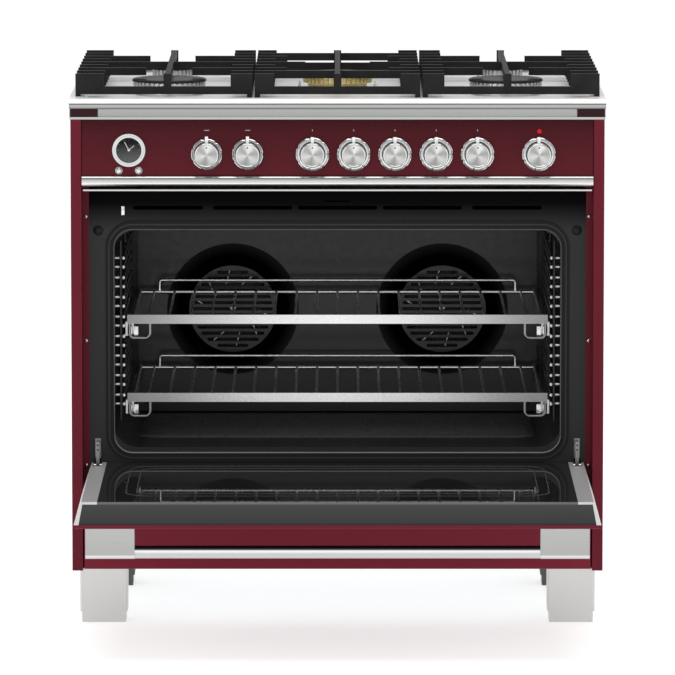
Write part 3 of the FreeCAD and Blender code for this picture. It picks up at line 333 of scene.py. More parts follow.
def make_paints():
    """Burgundy paints, enamels and other dark coatings, by name; some are darker or lighter copies of one
    coating, standing for painted shade and painted light.
    """
    paint = {"scale": 3, "relief": 0.01, "depth": 0.0001, "fine": 260, "specular": 0.08}
    return {
        "paint": finish("burgundy_paint", (0.118, 0.0105, 0.02), (0.13, 0.0125, 0.023), (0.3, 0.36), **paint),
        # the fascia's burgundy, darker as painted shade under the hob's overhang
        "fascia_shaded_paint": finish(
            "fascia_shaded_paint", (0.066, 0.0065, 0.0105), (0.075, 0.008, 0.0125), (0.26, 0.32), **paint),
        "shaded_paint": finish(
            "shaded_paint", (0.026, 0.009, 0.0115), (0.03, 0.0105, 0.013), (0.3, 0.4), **paint),
        # the drawer front's burgundy, lighter as painted light
        "drawer_lit_paint": finish(
            "drawer_lit_burgundy_paint", (0.17, 0.0155, 0.029), (0.185, 0.018, 0.033), (0.3, 0.36), **paint),
        "enamel": enamel(
            "black_enamel", (0.0085, 0.0085, 0.0088), (0.0105, 0.0105, 0.0108), (0.017, 0.017, 0.0175),
            (0.3, 0.4)),
        # the oven floor's enamel, grey as a painted reflection of the bright opening
        "floor_reflection_enamel": enamel(
            "floor_reflection_enamel", (0.095, 0.095, 0.096), (0.105, 0.105, 0.106), (0.115, 0.115, 0.116),
            (0.26, 0.34)),
        # the mouth's rolled rim, grey as a painted highlight on black enamel
        "lip_highlight_enamel": finish(
            "lip_highlight_enamel", (0.09, 0.09, 0.09), (0.1, 0.1, 0.1), (0.2, 0.28), scale=30, relief=0.02),
        "ring_shade": ring_shade_finish(),
        "frame_black": finish(
            "frame_black", (0.009, 0.009, 0.0095), (0.013, 0.013, 0.0135), (0.3, 0.4), scale=5, relief=0.03,
            fine=300, specular=0.3),
        "end_band": finish(
            "end_band_grey", (0.038, 0.038, 0.0375), (0.044, 0.044, 0.0435), (0.42, 0.5), scale=8,
            relief=0.03, specular=0.2),
        "iron": finish(
            "cast_iron", (0.0145, 0.0145, 0.015), (0.02, 0.02, 0.0205), (0.45, 0.6), scale=30, relief=0.2,
            depth=0.0003, fine=520, specular=0.1),
        "cap": finish(
            "cap_enamel", (0.012, 0.012, 0.0125), (0.017, 0.017, 0.0175), (0.35, 0.45), fine=420,
            specular=0.2),
        "deep": finish(
            "deep_shadow_black", (0.0015, 0.0015, 0.0015), (0.0025, 0.0025, 0.0025), (0.8, 0.95), scale=30,
            relief=0.02, specular=0),
    }


def make_metals():
    """Steels, chromes and burner metals, by name."""
    return {
        # nearly white and barely metallic: a painted reflection of the bright surroundings on the hob's steel
        "hob": finish(
            "hob_steel", (0.9, 0.9, 0.895), (0.93, 0.93, 0.925), (0.3, 0.36), 0.05, 60, (0.02, 1, 1),
            relief=0.004, depth=0.00002, fine=900),
        "side_strip": finish(
            "side_strip_steel", (0.52, 0.525, 0.52), (0.56, 0.565, 0.56), (0.3, 0.4), 0.25, 60, (1, 0.02, 1),
            relief=0.01, depth=0.00003, fine=900),
        "claw": finish(
            "claw_steel", (0.26, 0.26, 0.26), (0.32, 0.32, 0.315), (0.3, 0.4), 0.9, 60, relief=0.02),
        "trim": brushed("trim_steel", (0.46, 0.47, 0.46), (0.16, 0.24), "x"),
        "bright_trim": brushed("bright_trim_steel", (0.6, 0.6, 0.6), (0.12, 0.18), "x"),
        "handle": brushed("handle_steel", (0.44, 0.445, 0.445), (0.2, 0.28), "x"),
        "leg": brushed("leg_steel", (0.6, 0.605, 0.605), (0.3, 0.4), "z"),
        "strip": brushed("strip_steel", (0.5, 0.51, 0.505), (0.2, 0.26), "y", 0.2),
        "galvanised": finish(
            "galvanised", (0.4, 0.41, 0.42), (0.46, 0.47, 0.48), (0.35, 0.45), 0.9, 45, relief=0.04,
            fine=200),
        "chrome": finish(
            "chrome", (0.66, 0.67, 0.665), (0.7, 0.71, 0.705), (0.06, 0.1), 1.0, 20, relief=0.001),
        "bezel_chrome": finish(
            "bezel_chrome", (0.62, 0.625, 0.62), (0.7, 0.705, 0.7), (0.14, 0.2), 1.0, 40, relief=0.001),
        "satin_chrome": finish(
            "satin_chrome", (0.62, 0.62, 0.615), (0.7, 0.7, 0.695), (0.2, 0.28), 1.0, 80, relief=0.01),
        "turned": turned_face(),
        "wire": finish("bright_wire", (0.5, 0.5, 0.5), (0.6, 0.6, 0.6), (0.2, 0.3), 1.0, 60, relief=0.02),
        # the ladders' wire, darkened as painted shade inside the oven
        "shaded_wire": finish(
            "shaded_wire", (0.07, 0.07, 0.07), (0.12, 0.12, 0.12), (0.16, 0.24), 1.0, 60, relief=0.01),
        # the fan wheels, darkened as painted shade behind the grille
        "shaded_fan_metal": finish(
            "shaded_fan_metal", (0.008, 0.008, 0.008), (0.014, 0.014, 0.014), (0.4, 0.5), 0.5, 60, relief=0.04),
        # bright vanes, painted glints on the darkened fan wheels
        "vane": finish("glinting_vane_metal", (0.3, 0.3, 0.3), (0.42, 0.42, 0.42), (0.25, 0.35), 1.0, 60, relief=0.02),
        "aluminium": finish(
            "cast_aluminium", (0.7, 0.7, 0.7), (0.8, 0.8, 0.8), (0.28, 0.4), 0.9, 90, relief=0.06, fine=300),
        "brass": finish(
            "burner_brass", (0.68, 0.55, 0.26), (0.8, 0.68, 0.36), (0.22, 0.34), 0.9, 90, relief=0.04),
    }


def make_other_materials():
    """Glass, seals, plastics, ceramic and print, by name."""
    return {
        "black_glass": finish(
            "black_glass", (0.019, 0.019, 0.0195), (0.021, 0.021, 0.0215), (0.015, 0.025), scale=3,
            relief=0.0005, specular=0.4),
        "window": tinted_glass("window_glass", (0.006, 0.006, 0.0065), 0.9, 0.15),
        "lens": tinted_glass("clock_lens", (0.02, 0.02, 0.02), 0.03, 0.03),
        "red": finish(
            "red_lens", (0.5, 0.006, 0.014), (0.58, 0.009, 0.02), (0.2, 0.3), scale=90, relief=0.02,
            coat=0.05, specular=0.15),
        "clock_face": clock_face_finish(),
        "gasket": finish(
            "gasket_braid", (0.008, 0.008, 0.0085), (0.013, 0.013, 0.0135), (0.6, 0.8), scale=500, relief=0.4,
            depth=0.0005, fine=700, specular=0.2),
        "gasket_bead": finish(
            "gasket_bead", (0.022, 0.022, 0.022), (0.03, 0.03, 0.0305), (0.4, 0.5), scale=300, relief=0.05,
            specular=0.25),
        "white": finish(
            "white_mark", (0.85, 0.85, 0.84), (0.9, 0.9, 0.89), (0.3, 0.4), scale=90, relief=0.03),
        "black": finish(
            "dark_plastic", (0.006, 0.006, 0.006), (0.01, 0.01, 0.01), (0.4, 0.55), scale=60, relief=0.06,
            specular=0.2),
        "ceramic": finish(
            "ceramic", (0.75, 0.73, 0.7), (0.85, 0.83, 0.8), (0.3, 0.45), scale=90, relief=0.04),
        "print": finish(
            "printed_grey", (0.075, 0.075, 0.075), (0.1, 0.1, 0.1), (0.2, 0.3), scale=60, relief=0.02),
        "pale_print": finish(
            "pale_print", (0.4, 0.36, 0.37), (0.5, 0.46, 0.47), (0.4, 0.5), scale=90, relief=0.02),
    }


# ---------------------------------------------------------------- looks of the CAD nodes

NODES_BY_FINISH = {
    "paint": ("side_panel_left", "side_panel_right", "door_skin"),
    "fascia_shaded_paint": ("control_fascia",),
    "shaded_paint": ("hob_corner_blocks",),
    "drawer_lit_paint": ("drawer_front",),
    "enamel": ("oven_liner", "rear_baffle"),
    "frame_black": ("oven_front_frame",),
    "end_band": ("door_frame",),
    "iron": ("grate_left", "grate_centre", "grate_right"),
    "galvanised": ("rear_panel", "base_pan", "gas_manifold", "fan_motors", "drawer_box"),
    "leg": ("legs",),
    "hob": ("hob_tray",),
    "trim": ("hob_front_trim", "rear_vent_trim"),
    "bright_trim": ("fascia_trim",),
    "handle": ("door_handle_brackets", "door_handle_bar"),
    "side_strip": ("door_side_strips",),
    "strip": ("runner_rails",),
    "claw": ("hinge_claws",),
    "chrome": ("clock_case", "door_hinge_pins"),
    "wire": ("rack_upper", "rack_lower"),
    "shaded_wire": ("shelf_ladders",),
    "shaded_fan_metal": ("oven_fan_left", "oven_fan_right"),
    "gasket": ("oven_gasket",),
    "window": ("door_window_glass",),
    "black_glass": ("door_inner_glass",),
    "black": ("oven_switches", "oven_elements"),
}
SOFT_EDGES = {  # bevel widths in millimetres
    "side_panel_left": 0.8, "side_panel_right": 0.8, "rear_baffle": 0.8, "legs": 0.8,
    "hob_tray": 1.0, "hob_front_trim": 0.8, "rear_vent_trim": 1.0, "hob_corner_blocks": 0.6,
    "grate_left": 1.1, "grate_centre": 1.1, "grate_right": 1.1, "fascia_trim": 0.5,
    "door_frame": 1.2, "door_side_strips": 0.8, "door_inner_glass": 0.8, "door_handle_brackets": 0.8,
    "drawer_front": 0.6, "hinge_claws": 0.5, "runner_rails": 0.6,
}
PAINTED_LIGHT_RUNS = {  # painted light and shade along each node: the axis, a tint, and stops of (fraction, grey)
    # painted highlight and shade bands across the hob's front trim
    "hob_front_trim": ("Z", (0.97, 1, 0.97), (
        (0, 0.46), (0.13, 0.58), (0.18, 0.38), (0.64, 0.43), (0.69, 0.1), (0.76, 0.3), (0.9, 0.52),
        (1, 0.3))),
    # painted shade low on the hob tray's front edge, near white across its deck
    "hob_tray": ("Z", (1, 1, 0.995), ((0, 0.2), (0.12, 0.35), (0.24, 0.9), (1, 0.95))),
    # painted highlight and shade bands on the fascia's trim
    "fascia_trim": ("Z", (1, 0.99, 0.98), (
        (0, 0.66), (0.35, 0.56), (0.5, 0.72), (0.66, 0.62), (0.74, 0.43), (1, 0.38))),
    # painted highlight and shade bands on the handle's bar and brackets
    "door_handle_bar": ("Z", (1, 1, 1), (
        (0, 0.54), (0.4, 0.46), (0.55, 0.68), (0.66, 0.68), (0.76, 0.07), (1, 0.04))),
    "door_handle_brackets": ("Z", (1, 1, 0.99), ((0, 0.5), (0.09, 0.62), (0.14, 0.36), (1, 0.4))),
    # painted shade on the rear legs
    "legs": ("Y", (1, 1, 0.99), ((0, 0.58), (0.2, 0.58), (0.5, 0.1), (1, 0.1))),
    # painted shade on the ladder uprights; the rungs keep their painted glint
    "shelf_ladders": ("X", (1, 1, 1), (
        (0, 0.5), (0.962, 0.5), (0.966, 0.03), (0.979, 0.03), (0.983, 0.5), (1, 0.5))),
    # a painted highlight along the inner glass's front edge
    "door_inner_glass": ("Y", (1, 1, 1.02), ((0, 0.1), (0.001, 0.1), (0.004, 0.02), (1, 0.02))),
    # painted highlight in the middle of each rack's front trim, darkening towards its ends
    "rack_upper": ("X", (1, 1, 1), ((0, 0.74), (0.35, 0.64), (0.8, 0.32), (1, 0.22))),
    "rack_lower": ("X", (1, 1, 1), ((0, 0.68), (0.35, 0.58), (0.8, 0.27), (1, 0.2))),
    # painted shade on the fascia, darkest at its top under the hob
    "control_fascia": ("Z", (1, 0.105, 0.17), ((0, 0.09), (0.3, 0.082), (0.75, 0.062), (1, 0.034))),
    # painted shade at the front frame's top, under the control panel
    "oven_front_frame": ("Z", (1, 1, 1.03), ((0, 0.01), (0.86, 0.012), (0.92, 0.0035), (1, 0.001))),
    # painted light on the door's end band, lighter towards its top
    "door_frame": ("Z", (1, 1, 0.98), ((0, 0.01), (0.12, 0.028), (0.8, 0.04), (1, 0.046))),
}


def soften(obj, width):
    """Rounds an object's sharp edges with a bevel."""
    bevel = obj.modifiers.new("soft_edges", "BEVEL")
    bevel.width = width * MM
    bevel.segments = 3
    bevel.limit_method = "ANGLE"
    bevel.angle_limit = math.radians(40)


def dress_nodes():
    """Gives every carried-over CAD node its finish and soft edges."""
    for key, names in NODES_BY_FINISH.items():
        for name in names:
            materials = NODES[name].data.materials
            materials.clear()
            materials.append(MATERIALS[key])
    for name, width in SOFT_EDGES.items():
        soften(NODES[name], width)


def paint_light_along(obj, axis, stops, tint=(1, 1, 1)):
    """Paints light and shade into an object's colour through stops of (fraction, grey) from its low end to
    its high end.

    Along X, the run starts at the object's middle and goes out to both sides.
    """
    mat = obj.data.materials[0]
    tree = mat.node_tree
    reach = [corner["XYZ".index(axis)] for corner in obj.bound_box]
    value = own_place(tree, axis)
    low, high = min(reach), max(reach)
    if axis == "X":
        value = calculate(tree, "ABSOLUTE", calculate(tree, "SUBTRACT", value, (low + high) / 2))
        low, high = 0, (high - low) / 2
    tinted = [(fraction, [grey * part for part in tint]) for fraction, grey in stops]
    recolour(mat, spread(tree, value, 0, 1, low, high), tinted)


def paint_light_on_nodes():
    """Painted highlights and painted shade: steel trims and black faces that run from light to dark across
    their height, length or depth.
    """
    for name, (axis, tint, stops) in PAINTED_LIGHT_RUNS.items():
        obj = NODES[name]
        obj.data.materials[0] = obj.data.materials[0].copy()
        obj.data.materials[0].name = name + "_finish"
        paint_light_along(obj, axis, stops, tint)


def brighten_wires(rack):
    """Only a rack's flat front trim keeps its painted highlight, which darkens towards its ends; the wires
    behind it stay bright.
    """
    mat = rack.data.materials[0]
    front = min(corner[1] for corner in rack.bound_box)
    behind = spread(mat.node_tree, own_place(mat.node_tree, "Y"), 0, 1, front + 3.1 * MM, front + 3.5 * MM)
    lay_over(mat, behind, (0.9, 0.9, 0.9))


def dull_frame_top(obj):
    """The front frame loses its shine towards its top, under the control panel's shadow."""
    tree = obj.data.materials[0].node_tree
    top = max(corner[2] for corner in obj.bound_box)
    shine = spread(tree, own_place(tree, "Z"), 0.3, 0.02, top - 70 * MM, top - 25 * MM)
    tree.links.new(shine, tree.nodes["Principled BSDF"].inputs["Specular IOR Level"])


# ---------------------------------------------------------------- mesh helpers

FRONT = Matrix.Rotation(math.radians(90), 4, "X")  # turns a lathe's own Z to face the cook, with Y up
UPRIGHT = Matrix.Identity(4)


def to_mesh(name, bm, sharp):
    """Turns working geometry into a mesh, smooth except across edges sharper than an angle in degrees."""
    bmesh.ops.remove_doubles(bm, verts=bm.verts, dist=1e-7)
    bmesh.ops.recalc_face_normals(bm, faces=bm.faces)
    for face in bm.faces:
        face.smooth = True
    for edge in bm.edges:
        edge.smooth = len(edge.link_faces) == 2 and edge.calc_face_angle(0) < math.radians(sharp)
    mesh = bpy.data.meshes.new(name)
    bm.to_mesh(mesh)
    bm.free()
    return mesh


def add(name, bm, body, key, place, replaces=(), sharp=35):
    """A finished piece: named, dressed, in place and riding on its body."""
    mesh = to_mesh(name, bm, sharp)
    obj = bpy.data.objects.new(name, mesh)
    obj.location = place
    bpy.context.scene.collection.objects.link(obj)
    mesh.materials.append(MATERIALS[key])
    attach(obj, body)
    if replaces:
        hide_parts(*replaces)
    return obj


def lathe(bm, profile, turn=UPRIGHT, at=(0, 0, 0), steps=48, swell=None):
    """Turns a half profile of (radius, height) in millimetres about Z.

    A radius of zero closes the shape with a single point. swell(angle, radius) may move a radius.
    """
    rings = []
    matrix = Matrix.Translation(at) @ turn
    for radius, height in profile:
        if radius == 0:
            rings.append([bm.verts.new(matrix @ Vector((0, 0, height * MM)))])
            continue
        ring = []
        for i in range(steps):
            angle = 2 * math.pi * i / steps
            r = (swell(angle, radius) if swell else radius) * MM
            point = Vector((r * math.cos(angle), r * math.sin(angle), height * MM))
            ring.append(bm.verts.new(matrix @ point))
        rings.append(ring)
    for low, high in zip(rings, rings[1:]):
        for i in range(steps):
            j = (i + 1) % steps
            corners = [low[i % len(low)], low[j % len(low)], high[j % len(high)], high[i % len(high)]]
            unique = list(dict.fromkeys(corners))
            if len(unique) > 2:
                bm.faces.new(unique)


def add_turned(name, profile, body, key, place, replaces=(), sharp=35, steps=48):
    """A piece made by one turn of a profile, facing the cook."""
    bm = bmesh.new()
    lathe(bm, profile, FRONT, steps=steps)
    return add(name, bm, body, key, place, replaces, sharp)


def block(bm, size, at=(0, 0, 0), turn=UPRIGHT, round_edges=0.0):
    """A block centred on a point, sizes in millimetres, with rounded edges."""
    matrix = Matrix.Translation(at) @ turn @ Matrix.Diagonal((*[s * MM for s in size], 1))
    made = bmesh.ops.create_cube(bm, size=1, matrix=matrix)
    if round_edges:
        edges = list({edge for vert in made["verts"] for edge in vert.link_edges})
        bmesh.ops.bevel(bm, geom=edges, offset=round_edges * MM, segments=3, profile=0.5, affect="EDGES")


def rounded_loop(width, depth, corner, steps=10):
    """Points of a rounded rectangle about the origin, in millimetres, anticlockwise."""
    points = []
    for sx, sy, start in ((1, 1, 0), (-1, 1, 90), (-1, -1, 180), (1, -1, 270)):
        for i in range(steps + 1):
            angle = math.radians(start + 90 * i / steps)
            x = sx * (width / 2 - corner) + corner * math.cos(angle)
            y = sy * (depth / 2 - corner) + corner * math.sin(angle)
            points.append((x, y))
    return points


def part_way(first, second, fraction):
    """Points a fraction of the way from one loop to another."""
    return [(a[0] + (b[0] - a[0]) * fraction, a[1] + (b[1] - a[1]) * fraction) for a, b in zip(first, second)]


def frame_band(bm, outer, inner, base, top, round_top=0.0):
    """A band between two loops with the same number of points, from one height to another, in millimetres."""
    sections = [(outer, base), (outer, top), (inner, top), (inner, base)]
    if round_top:
        shoulder = top - (top - base) * 0.4
        sections = [
            (outer, base), (outer, shoulder), (part_way(outer, inner, round_top), top),
            (part_way(inner, outer, round_top), top), (inner, shoulder), (inner, base),
        ]
    rings = [[bm.verts.new((x * MM, y * MM, height * MM)) for x, y in loop] for loop, height in sections]
    count = len(outer)
    for low, high in zip(rings, rings[1:] + rings[:1]):
        for i in range(count):
            j = (i + 1) % count
            bm.faces.new((low[i], low[j], high[j], high[i]))


# ---------------------------------------------------------------- knobs, clock, lamp

def make_knob(name):
    """A turned knob: chrome drum with a rounded rim, a dished spun face, a dimple and a pale pointer fin."""
    low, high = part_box(name)
    centre = facing(name, high.y)
    radius = (high.x - low.x) / 2 / MM
    length = (high.y - low.y) / MM
    drum = [
        (radius - 5, 0.2), (radius - 2.4, 0.2), (radius - 0.6, 1.6), (radius, 4), (radius, length - 4.5),
        (radius - 0.3, length - 2.6), (radius - 1.1, length - 1.2), (radius - 2, length - 0.8),
        (radius - 2.9, length - 1.2), (radius - 3.2, length - 2),
    ]
    add_turned(name + "_drum", drum, name, "chrome", centre, (name,), 50, 72)
    face = [(radius - 3.2, length - 2), (radius - 3.6, length - 2.1), (9, length - 2.9), (0, length - 3.3)]
    add_turned(name + "_face", face, name, "turned", centre, steps=72)

    dimple = [(0, 0.9), (0.7, 0.8), (1.3, 0.2), (1.5, 0)]
    dimple_place = centre + Vector((0, -(length - 2.7) * MM, (radius - 8) * MM))
    add_turned(name + "_dimple", dimple, name, "black", dimple_place, steps=20)

    tip = 31 if name in OVEN_KNOBS else 30
    root = radius - 1.5
    bm = bmesh.new()
    block(bm, (5.2, 6.5, tip - root), round_edges=0.6)
    pointer_place = centre + Vector((0, -11 * MM, (tip + root) / 2 * MM))
    add(name + "_pointer", bm, name, "white", pointer_place, sharp=50)


def make_bezel(name, start):
    """A stepped chrome ring round a knob, scalloped along its edge from a start angle on."""
    outer = 27 if name in OVEN_KNOBS else 29
    rim, bites, bite_depth = 3.1, 7, 1.3

    def scallop(angle, radius):
        """Shallow bites out of the ring's rim."""
        if radius < outer - rim:
            return radius
        wave = max(0.0, math.cos(bites * (angle + start)) - 0.8) / 0.2
        return radius - bite_depth * wave

    profile = [
        (21.7, 0.2), (21.7, 4.6), (22.1, 5.4), (22.9, 5.4), (23.2, 4.0), (outer - 3.4, 3.4),
        (outer - 3.0, 5.2), (outer - 2.0, 6.0), (outer - 0.8, 5.4), (outer, 3.8), (outer, 0.2),
    ]
    bm = bmesh.new()
    lathe(bm, profile, FRONT, steps=168, swell=scallop)
    add(name + "_bezel", bm, ROOT, "bezel_chrome", facing(name), ("knob_bezels",), 40)


def make_clock():
    """Chrome bezel, dark dial with hour marks, centre cap and lens."""
    centre = facing("clock_dial")
    ring = [(21.6, 0.6), (21.8, 4.6), (22.8, 6.4), (24.4, 7.2), (26, 6.9), (27.4, 5), (28, 2.4), (28, 0.2)]
    add_turned("clock_bezel_ring", ring, ROOT, "satin_chrome", centre, (), 60, 96)
    dial = [(0, 0.5), (21.55, 0.5), (21.6, 0.2)]
    add_turned("clock_face", dial, ROOT, "clock_face", centre, ("clock_dial",), steps=96)

    outer_end = 19.6
    bm = bmesh.new()
    for hour in range(12):
        turn = Matrix.Rotation(math.radians(30 * hour), 4, "Y")
        long = 3.0 if hour % 3 == 0 else 1.8
        at = turn @ Vector((0, 0, (outer_end - long / 2) * MM))
        block(bm, (0.45, 0.25, long), at + Vector((0, -0.6 * MM, 0)), turn)
    add("clock_marks", bm, ROOT, "pale_print", centre)

    cap = [(0, 4.2), (1.4, 4.1), (2.0, 3.7), (2.0, 3.2)]
    add_turned("clock_cap", cap, ROOT, "chrome", centre, steps=24)
    lens = [(0, 5.6), (12, 5.2), (21.7, 4.4), (21.7, 4.1), (12, 4.9), (0, 5.3)]
    add_turned("clock_lens", lens, ROOT, "lens", centre, (), 60, 64)


def make_clock_hand(name, long, lean, lift):
    """A thin blade on a small hub, leaning clockwise by an angle, lifted off the dial."""
    turn = Matrix.Rotation(math.radians(lean), 4, "Y")
    bm = bmesh.new()
    block(bm, (0.9, 0.3, long), turn @ Vector((0, 0, long / 2 * MM)) + Vector((0, -lift * MM, 0)), turn)
    lathe(bm, [(2.2, lift - 0.2), (2.2, lift + 0.2), (0, lift + 0.2)], FRONT, steps=24)
    add(name + "_blade", bm, name, "white", facing("clock_dial"), (name,))


def make_clock_button(name):
    """A domed button in a fine ring."""
    place = facing(name)
    dome = [(4.7, 0), (4.7, 3.6), (4.3, 4.5), (3.2, 5.0), (0, 5.3)]
    add_turned(name + "_dome", dome, name, "satin_chrome", place, (name,), 60, 36)
    ring = [(5.2, 0.1), (5.3, 0.9), (5.8, 1.1), (6.3, 0.8), (6.4, 0.1)]
    add_turned(name + "_ring", ring, ROOT, "satin_chrome", place, (), 60, 36)


def make_lamp():
    """The warmer's red lamp."""
    dome = [(4.1, 0.1), (4.1, 1), (3.4, 2.1), (2, 2.8), (0, 3.0)]
    add_turned("lamp_dome", dome, ROOT, "red", facing("warmer_lamp"), ("warmer_lamp",), 60, 32)


def make_knob_mark(name):
    """A plain printed mark above a knob: wide for the oven's knobs, upright for the rest."""
    width, height = (9, 1.1) if name in OVEN_KNOBS else (1.1, 3.2)
    thick, rise = 0.3, 40.5
    bm = bmesh.new()
    block(bm, (width, thick, height), round_edges=0.1)
    place = facing(name) + Vector((0, -thick / 2 * MM, rise * MM))
    add(name + "_mark", bm, ROOT, "pale_print", place)


# ---------------------------------------------------------------- burners

CAP_RAISE = 2  # a cap is thinner than its plain CAD disc, so the crown under it is taller


def make_burner_head(name, at, radius, crown, metal, node, teeth):
    """A cast head with a foot ring, and a crown of teeth and slots on which the cap lies."""
    bm = bmesh.new()
    lathe(bm, [
        (radius - 9, 0), (radius - 10, 2), (radius - 11, 5), (radius - 11, 9), (radius - 8, 10.5),
        (radius - 2.4, 11.2), (radius - 1.8, 11.8), (radius - 1.8, 12.6), (radius - 4.5, 12.6),
        (radius - 6.5, crown - 0.2), (radius - 12, crown - 0.2),
    ], steps=72)
    lathe(bm, [(radius - 6, 0), (radius - 6.4, 1), (radius - 9.4, 1.8)], steps=72)
    teeth_share, foot = 0.52, 12.4
    width = 2 * math.pi * radius / teeth * teeth_share
    for i in range(teeth):
        turn = Matrix.Rotation(2 * math.pi * i / teeth, 4, "Z")
        place = turn @ Vector(((radius - 4.2) * MM, 0, (crown + foot - 0.2) / 2 * MM))
        block(bm, (4.6, width, crown - foot), place, turn, 0.35)
    add(name + "_head", bm, ROOT, metal, at, (node,), 40)


def make_burner_cap(name, at, radius, node):
    """A low enamelled dome with a rounded rim."""
    bm = bmesh.new()
    lathe(bm, [
        (radius - 5, 0), (radius - 1, 0.2), (radius, 1), (radius + 0.1, 2.4), (radius - 0.8, 3.8),
        (radius - 3, 4.7), (radius - 8, 5.1), (radius * 0.55, 5.5), (radius * 0.3, 5.8), (0, 6),
    ], steps=72)
    add(name + "_cap", bm, ROOT, "cap", at, (node,), 40)


def make_burner_pins(name, at, side):
    """A ceramic igniter on one side of the burner and a flame sensor on the other."""
    igniter = [(3.2, 0), (3.2, 7), (2.2, 8), (1.1, 8.4), (1.0, 12.5), (0, 12.8)]
    sensor = [(2.2, 0), (2.2, 5), (1.6, 6), (1.6, 11), (0.9, 12.4), (0, 12.6)]
    pins = (("igniter", igniter, side, "ceramic"), ("sensor", sensor, -side, "chrome"))
    for label, profile, x, key in pins:
        bm = bmesh.new()
        lathe(bm, profile, at=Vector((x, 0, 0)) * MM, steps=20)
        add(f"{name}_{label}", bm, ROOT, key, at, sharp=40)


def make_burners():
    """Five burners on the deck, placed by the boxes of their caps: front pair, rear pair and centre."""
    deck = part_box("burner_heads")[0].z
    rows = (
        ("burner_front", "burner_caps_front", "burner_heads", "aluminium", 40),
        ("burner_rear", "burner_caps_rear", "burner_heads", "aluminium", 26),
        ("burner_centre", "burner_cap_centre", "burner_head_centre", "brass", 40),
    )
    for label, cap_node, head_node, metal, teeth in rows:
        low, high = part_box(cap_node)
        radius = (high.y - low.y) / 2 / MM
        crown = (low.z - deck) / MM + CAP_RAISE
        pair = [low.x + radius * MM, high.x - radius * MM]
        for i, x in enumerate([(low.x + high.x) / 2] if metal == "brass" else pair):
            name = f"{label}_{i}"
            at = Vector((x, (low.y + high.y) / 2, deck))
            make_burner_head(name, at, radius, crown, metal, head_node, teeth)
            make_burner_cap(name, at + Vector((0, 0, crown * MM)), radius, cap_node)
            make_burner_pins(name, at, radius + 4)


# ---------------------------------------------------------------- oven and door details

def make_seals():
    """A pale bead along the gasket, and the rolled lip of the oven's mouth in grey, with a painted highlight
    brightest along its foot.
    """
    low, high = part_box("oven_gasket")
    across, tall = (high.x - low.x) / MM, (high.z - low.z) / MM
    bead_rise = 0.04  # the closed door's glass comes this close to the gasket
    bands = (
        ("gasket_bead", 4.2, 7.4, 42, -0.2, bead_rise, "gasket_bead", "gasket"),
        ("mouth_lip", 12.8, 15.6, 33, -3.4, -1.2, "lip_highlight_enamel", "black_enamel"),
    )
    for name, start, stop, corner, base, top, key, slot in bands:
        outer = rounded_loop(across - 2 * start, tall - 2 * start, corner, 14)
        inner = rounded_loop(across - 2 * stop, tall - 2 * stop, corner - (stop - start), 14)
        bm = bmesh.new()
        frame_band(bm, outer, inner, base, top, 0.3)
        bmesh.ops.transform(bm, matrix=FRONT, verts=bm.verts)
        band = add(name, bm, ROOT, key, facing("oven_gasket", low.y), sharp=60)
    # painted highlight: the lip is brightest along its foot and dim up its sides
    paint_light_along(band, "Z", ((0, 0.17), (0.03, 0.15), (0.09, 0.055), (0.95, 0.045), (1, 0.07)))


def make_rail_ends():
    """The two bright end caps of each of a rack's slides, below its front trim."""
    back, rise = 12, 14.5
    for rack in ("rack_upper", "rack_lower"):
        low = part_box(rack)[0]
        for side, word in SIDES:
            for part, x, wide in (("outer", 355.7, 8), ("inner", 345.3, 8.5)):
                bm = bmesh.new()
                block(bm, (wide, 4, 17), round_edges=1.2)
                place = (side * x * MM, low.y + back * MM, low.z + rise * MM)
                add(f"{rack}_{part}_end_{word}", bm, rack, "satin_chrome", place, sharp=40)


def make_fan_vanes():
    """Slanted vanes on each fan wheel, seen through the grille, bright as painted glints on the darkened
    wheel.
    """
    count, first, slant = 10, 9, 24
    for fan in ("oven_fan_left", "oven_fan_right"):
        bm = bmesh.new()
        for i in range(count):
            turn = Matrix.Rotation(math.radians(360 / count * i + first), 4, "Y")
            twist = Matrix.Rotation(math.radians(slant), 4, "Y")
            block(bm, (24, 20, 1.4), turn @ Vector((56 * MM, -13 * MM, 0)), turn @ twist)
        add(fan + "_vanes", bm, fan, "vane", facing(fan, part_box(fan)[1].y))


def make_claw_holes():
    """Two punched holes in the face of each hinge claw, drawn as thin black discs of painted shade."""
    low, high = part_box("hinge_claws")
    hole = [(1.5, 0), (1.5, 0.3), (0, 0.3)]
    hole_x, hole_heights = high.x - 7 * MM, (0.306, 0.298)
    for side, word in SIDES:
        for i, z in enumerate(hole_heights):
            place = (side * hole_x, low.y, z)
            add_turned(f"claw_hole_{word}_{i}", hole, ROOT, "deep", place, steps=20)


def make_screw(name, at, key="satin_chrome"):
    """A domed screw head with a cross recess, facing the cook."""
    size = 3.4
    head = [(size, 0), (size, 0.5), (size * 0.85, 1.3), (size * 0.45, 1.9), (0, 2.1)]
    add_turned(name, head, ROOT, key, at, (), 60, 28)
    bm = bmesh.new()
    for turn in (0, 90):
        block(bm, (size * 1.1, 0.5, 0.7), (0, -2.05 * MM, 0), Matrix.Rotation(math.radians(turn), 4, "Y"))
    add(name + "_cross", bm, ROOT, "black", at)


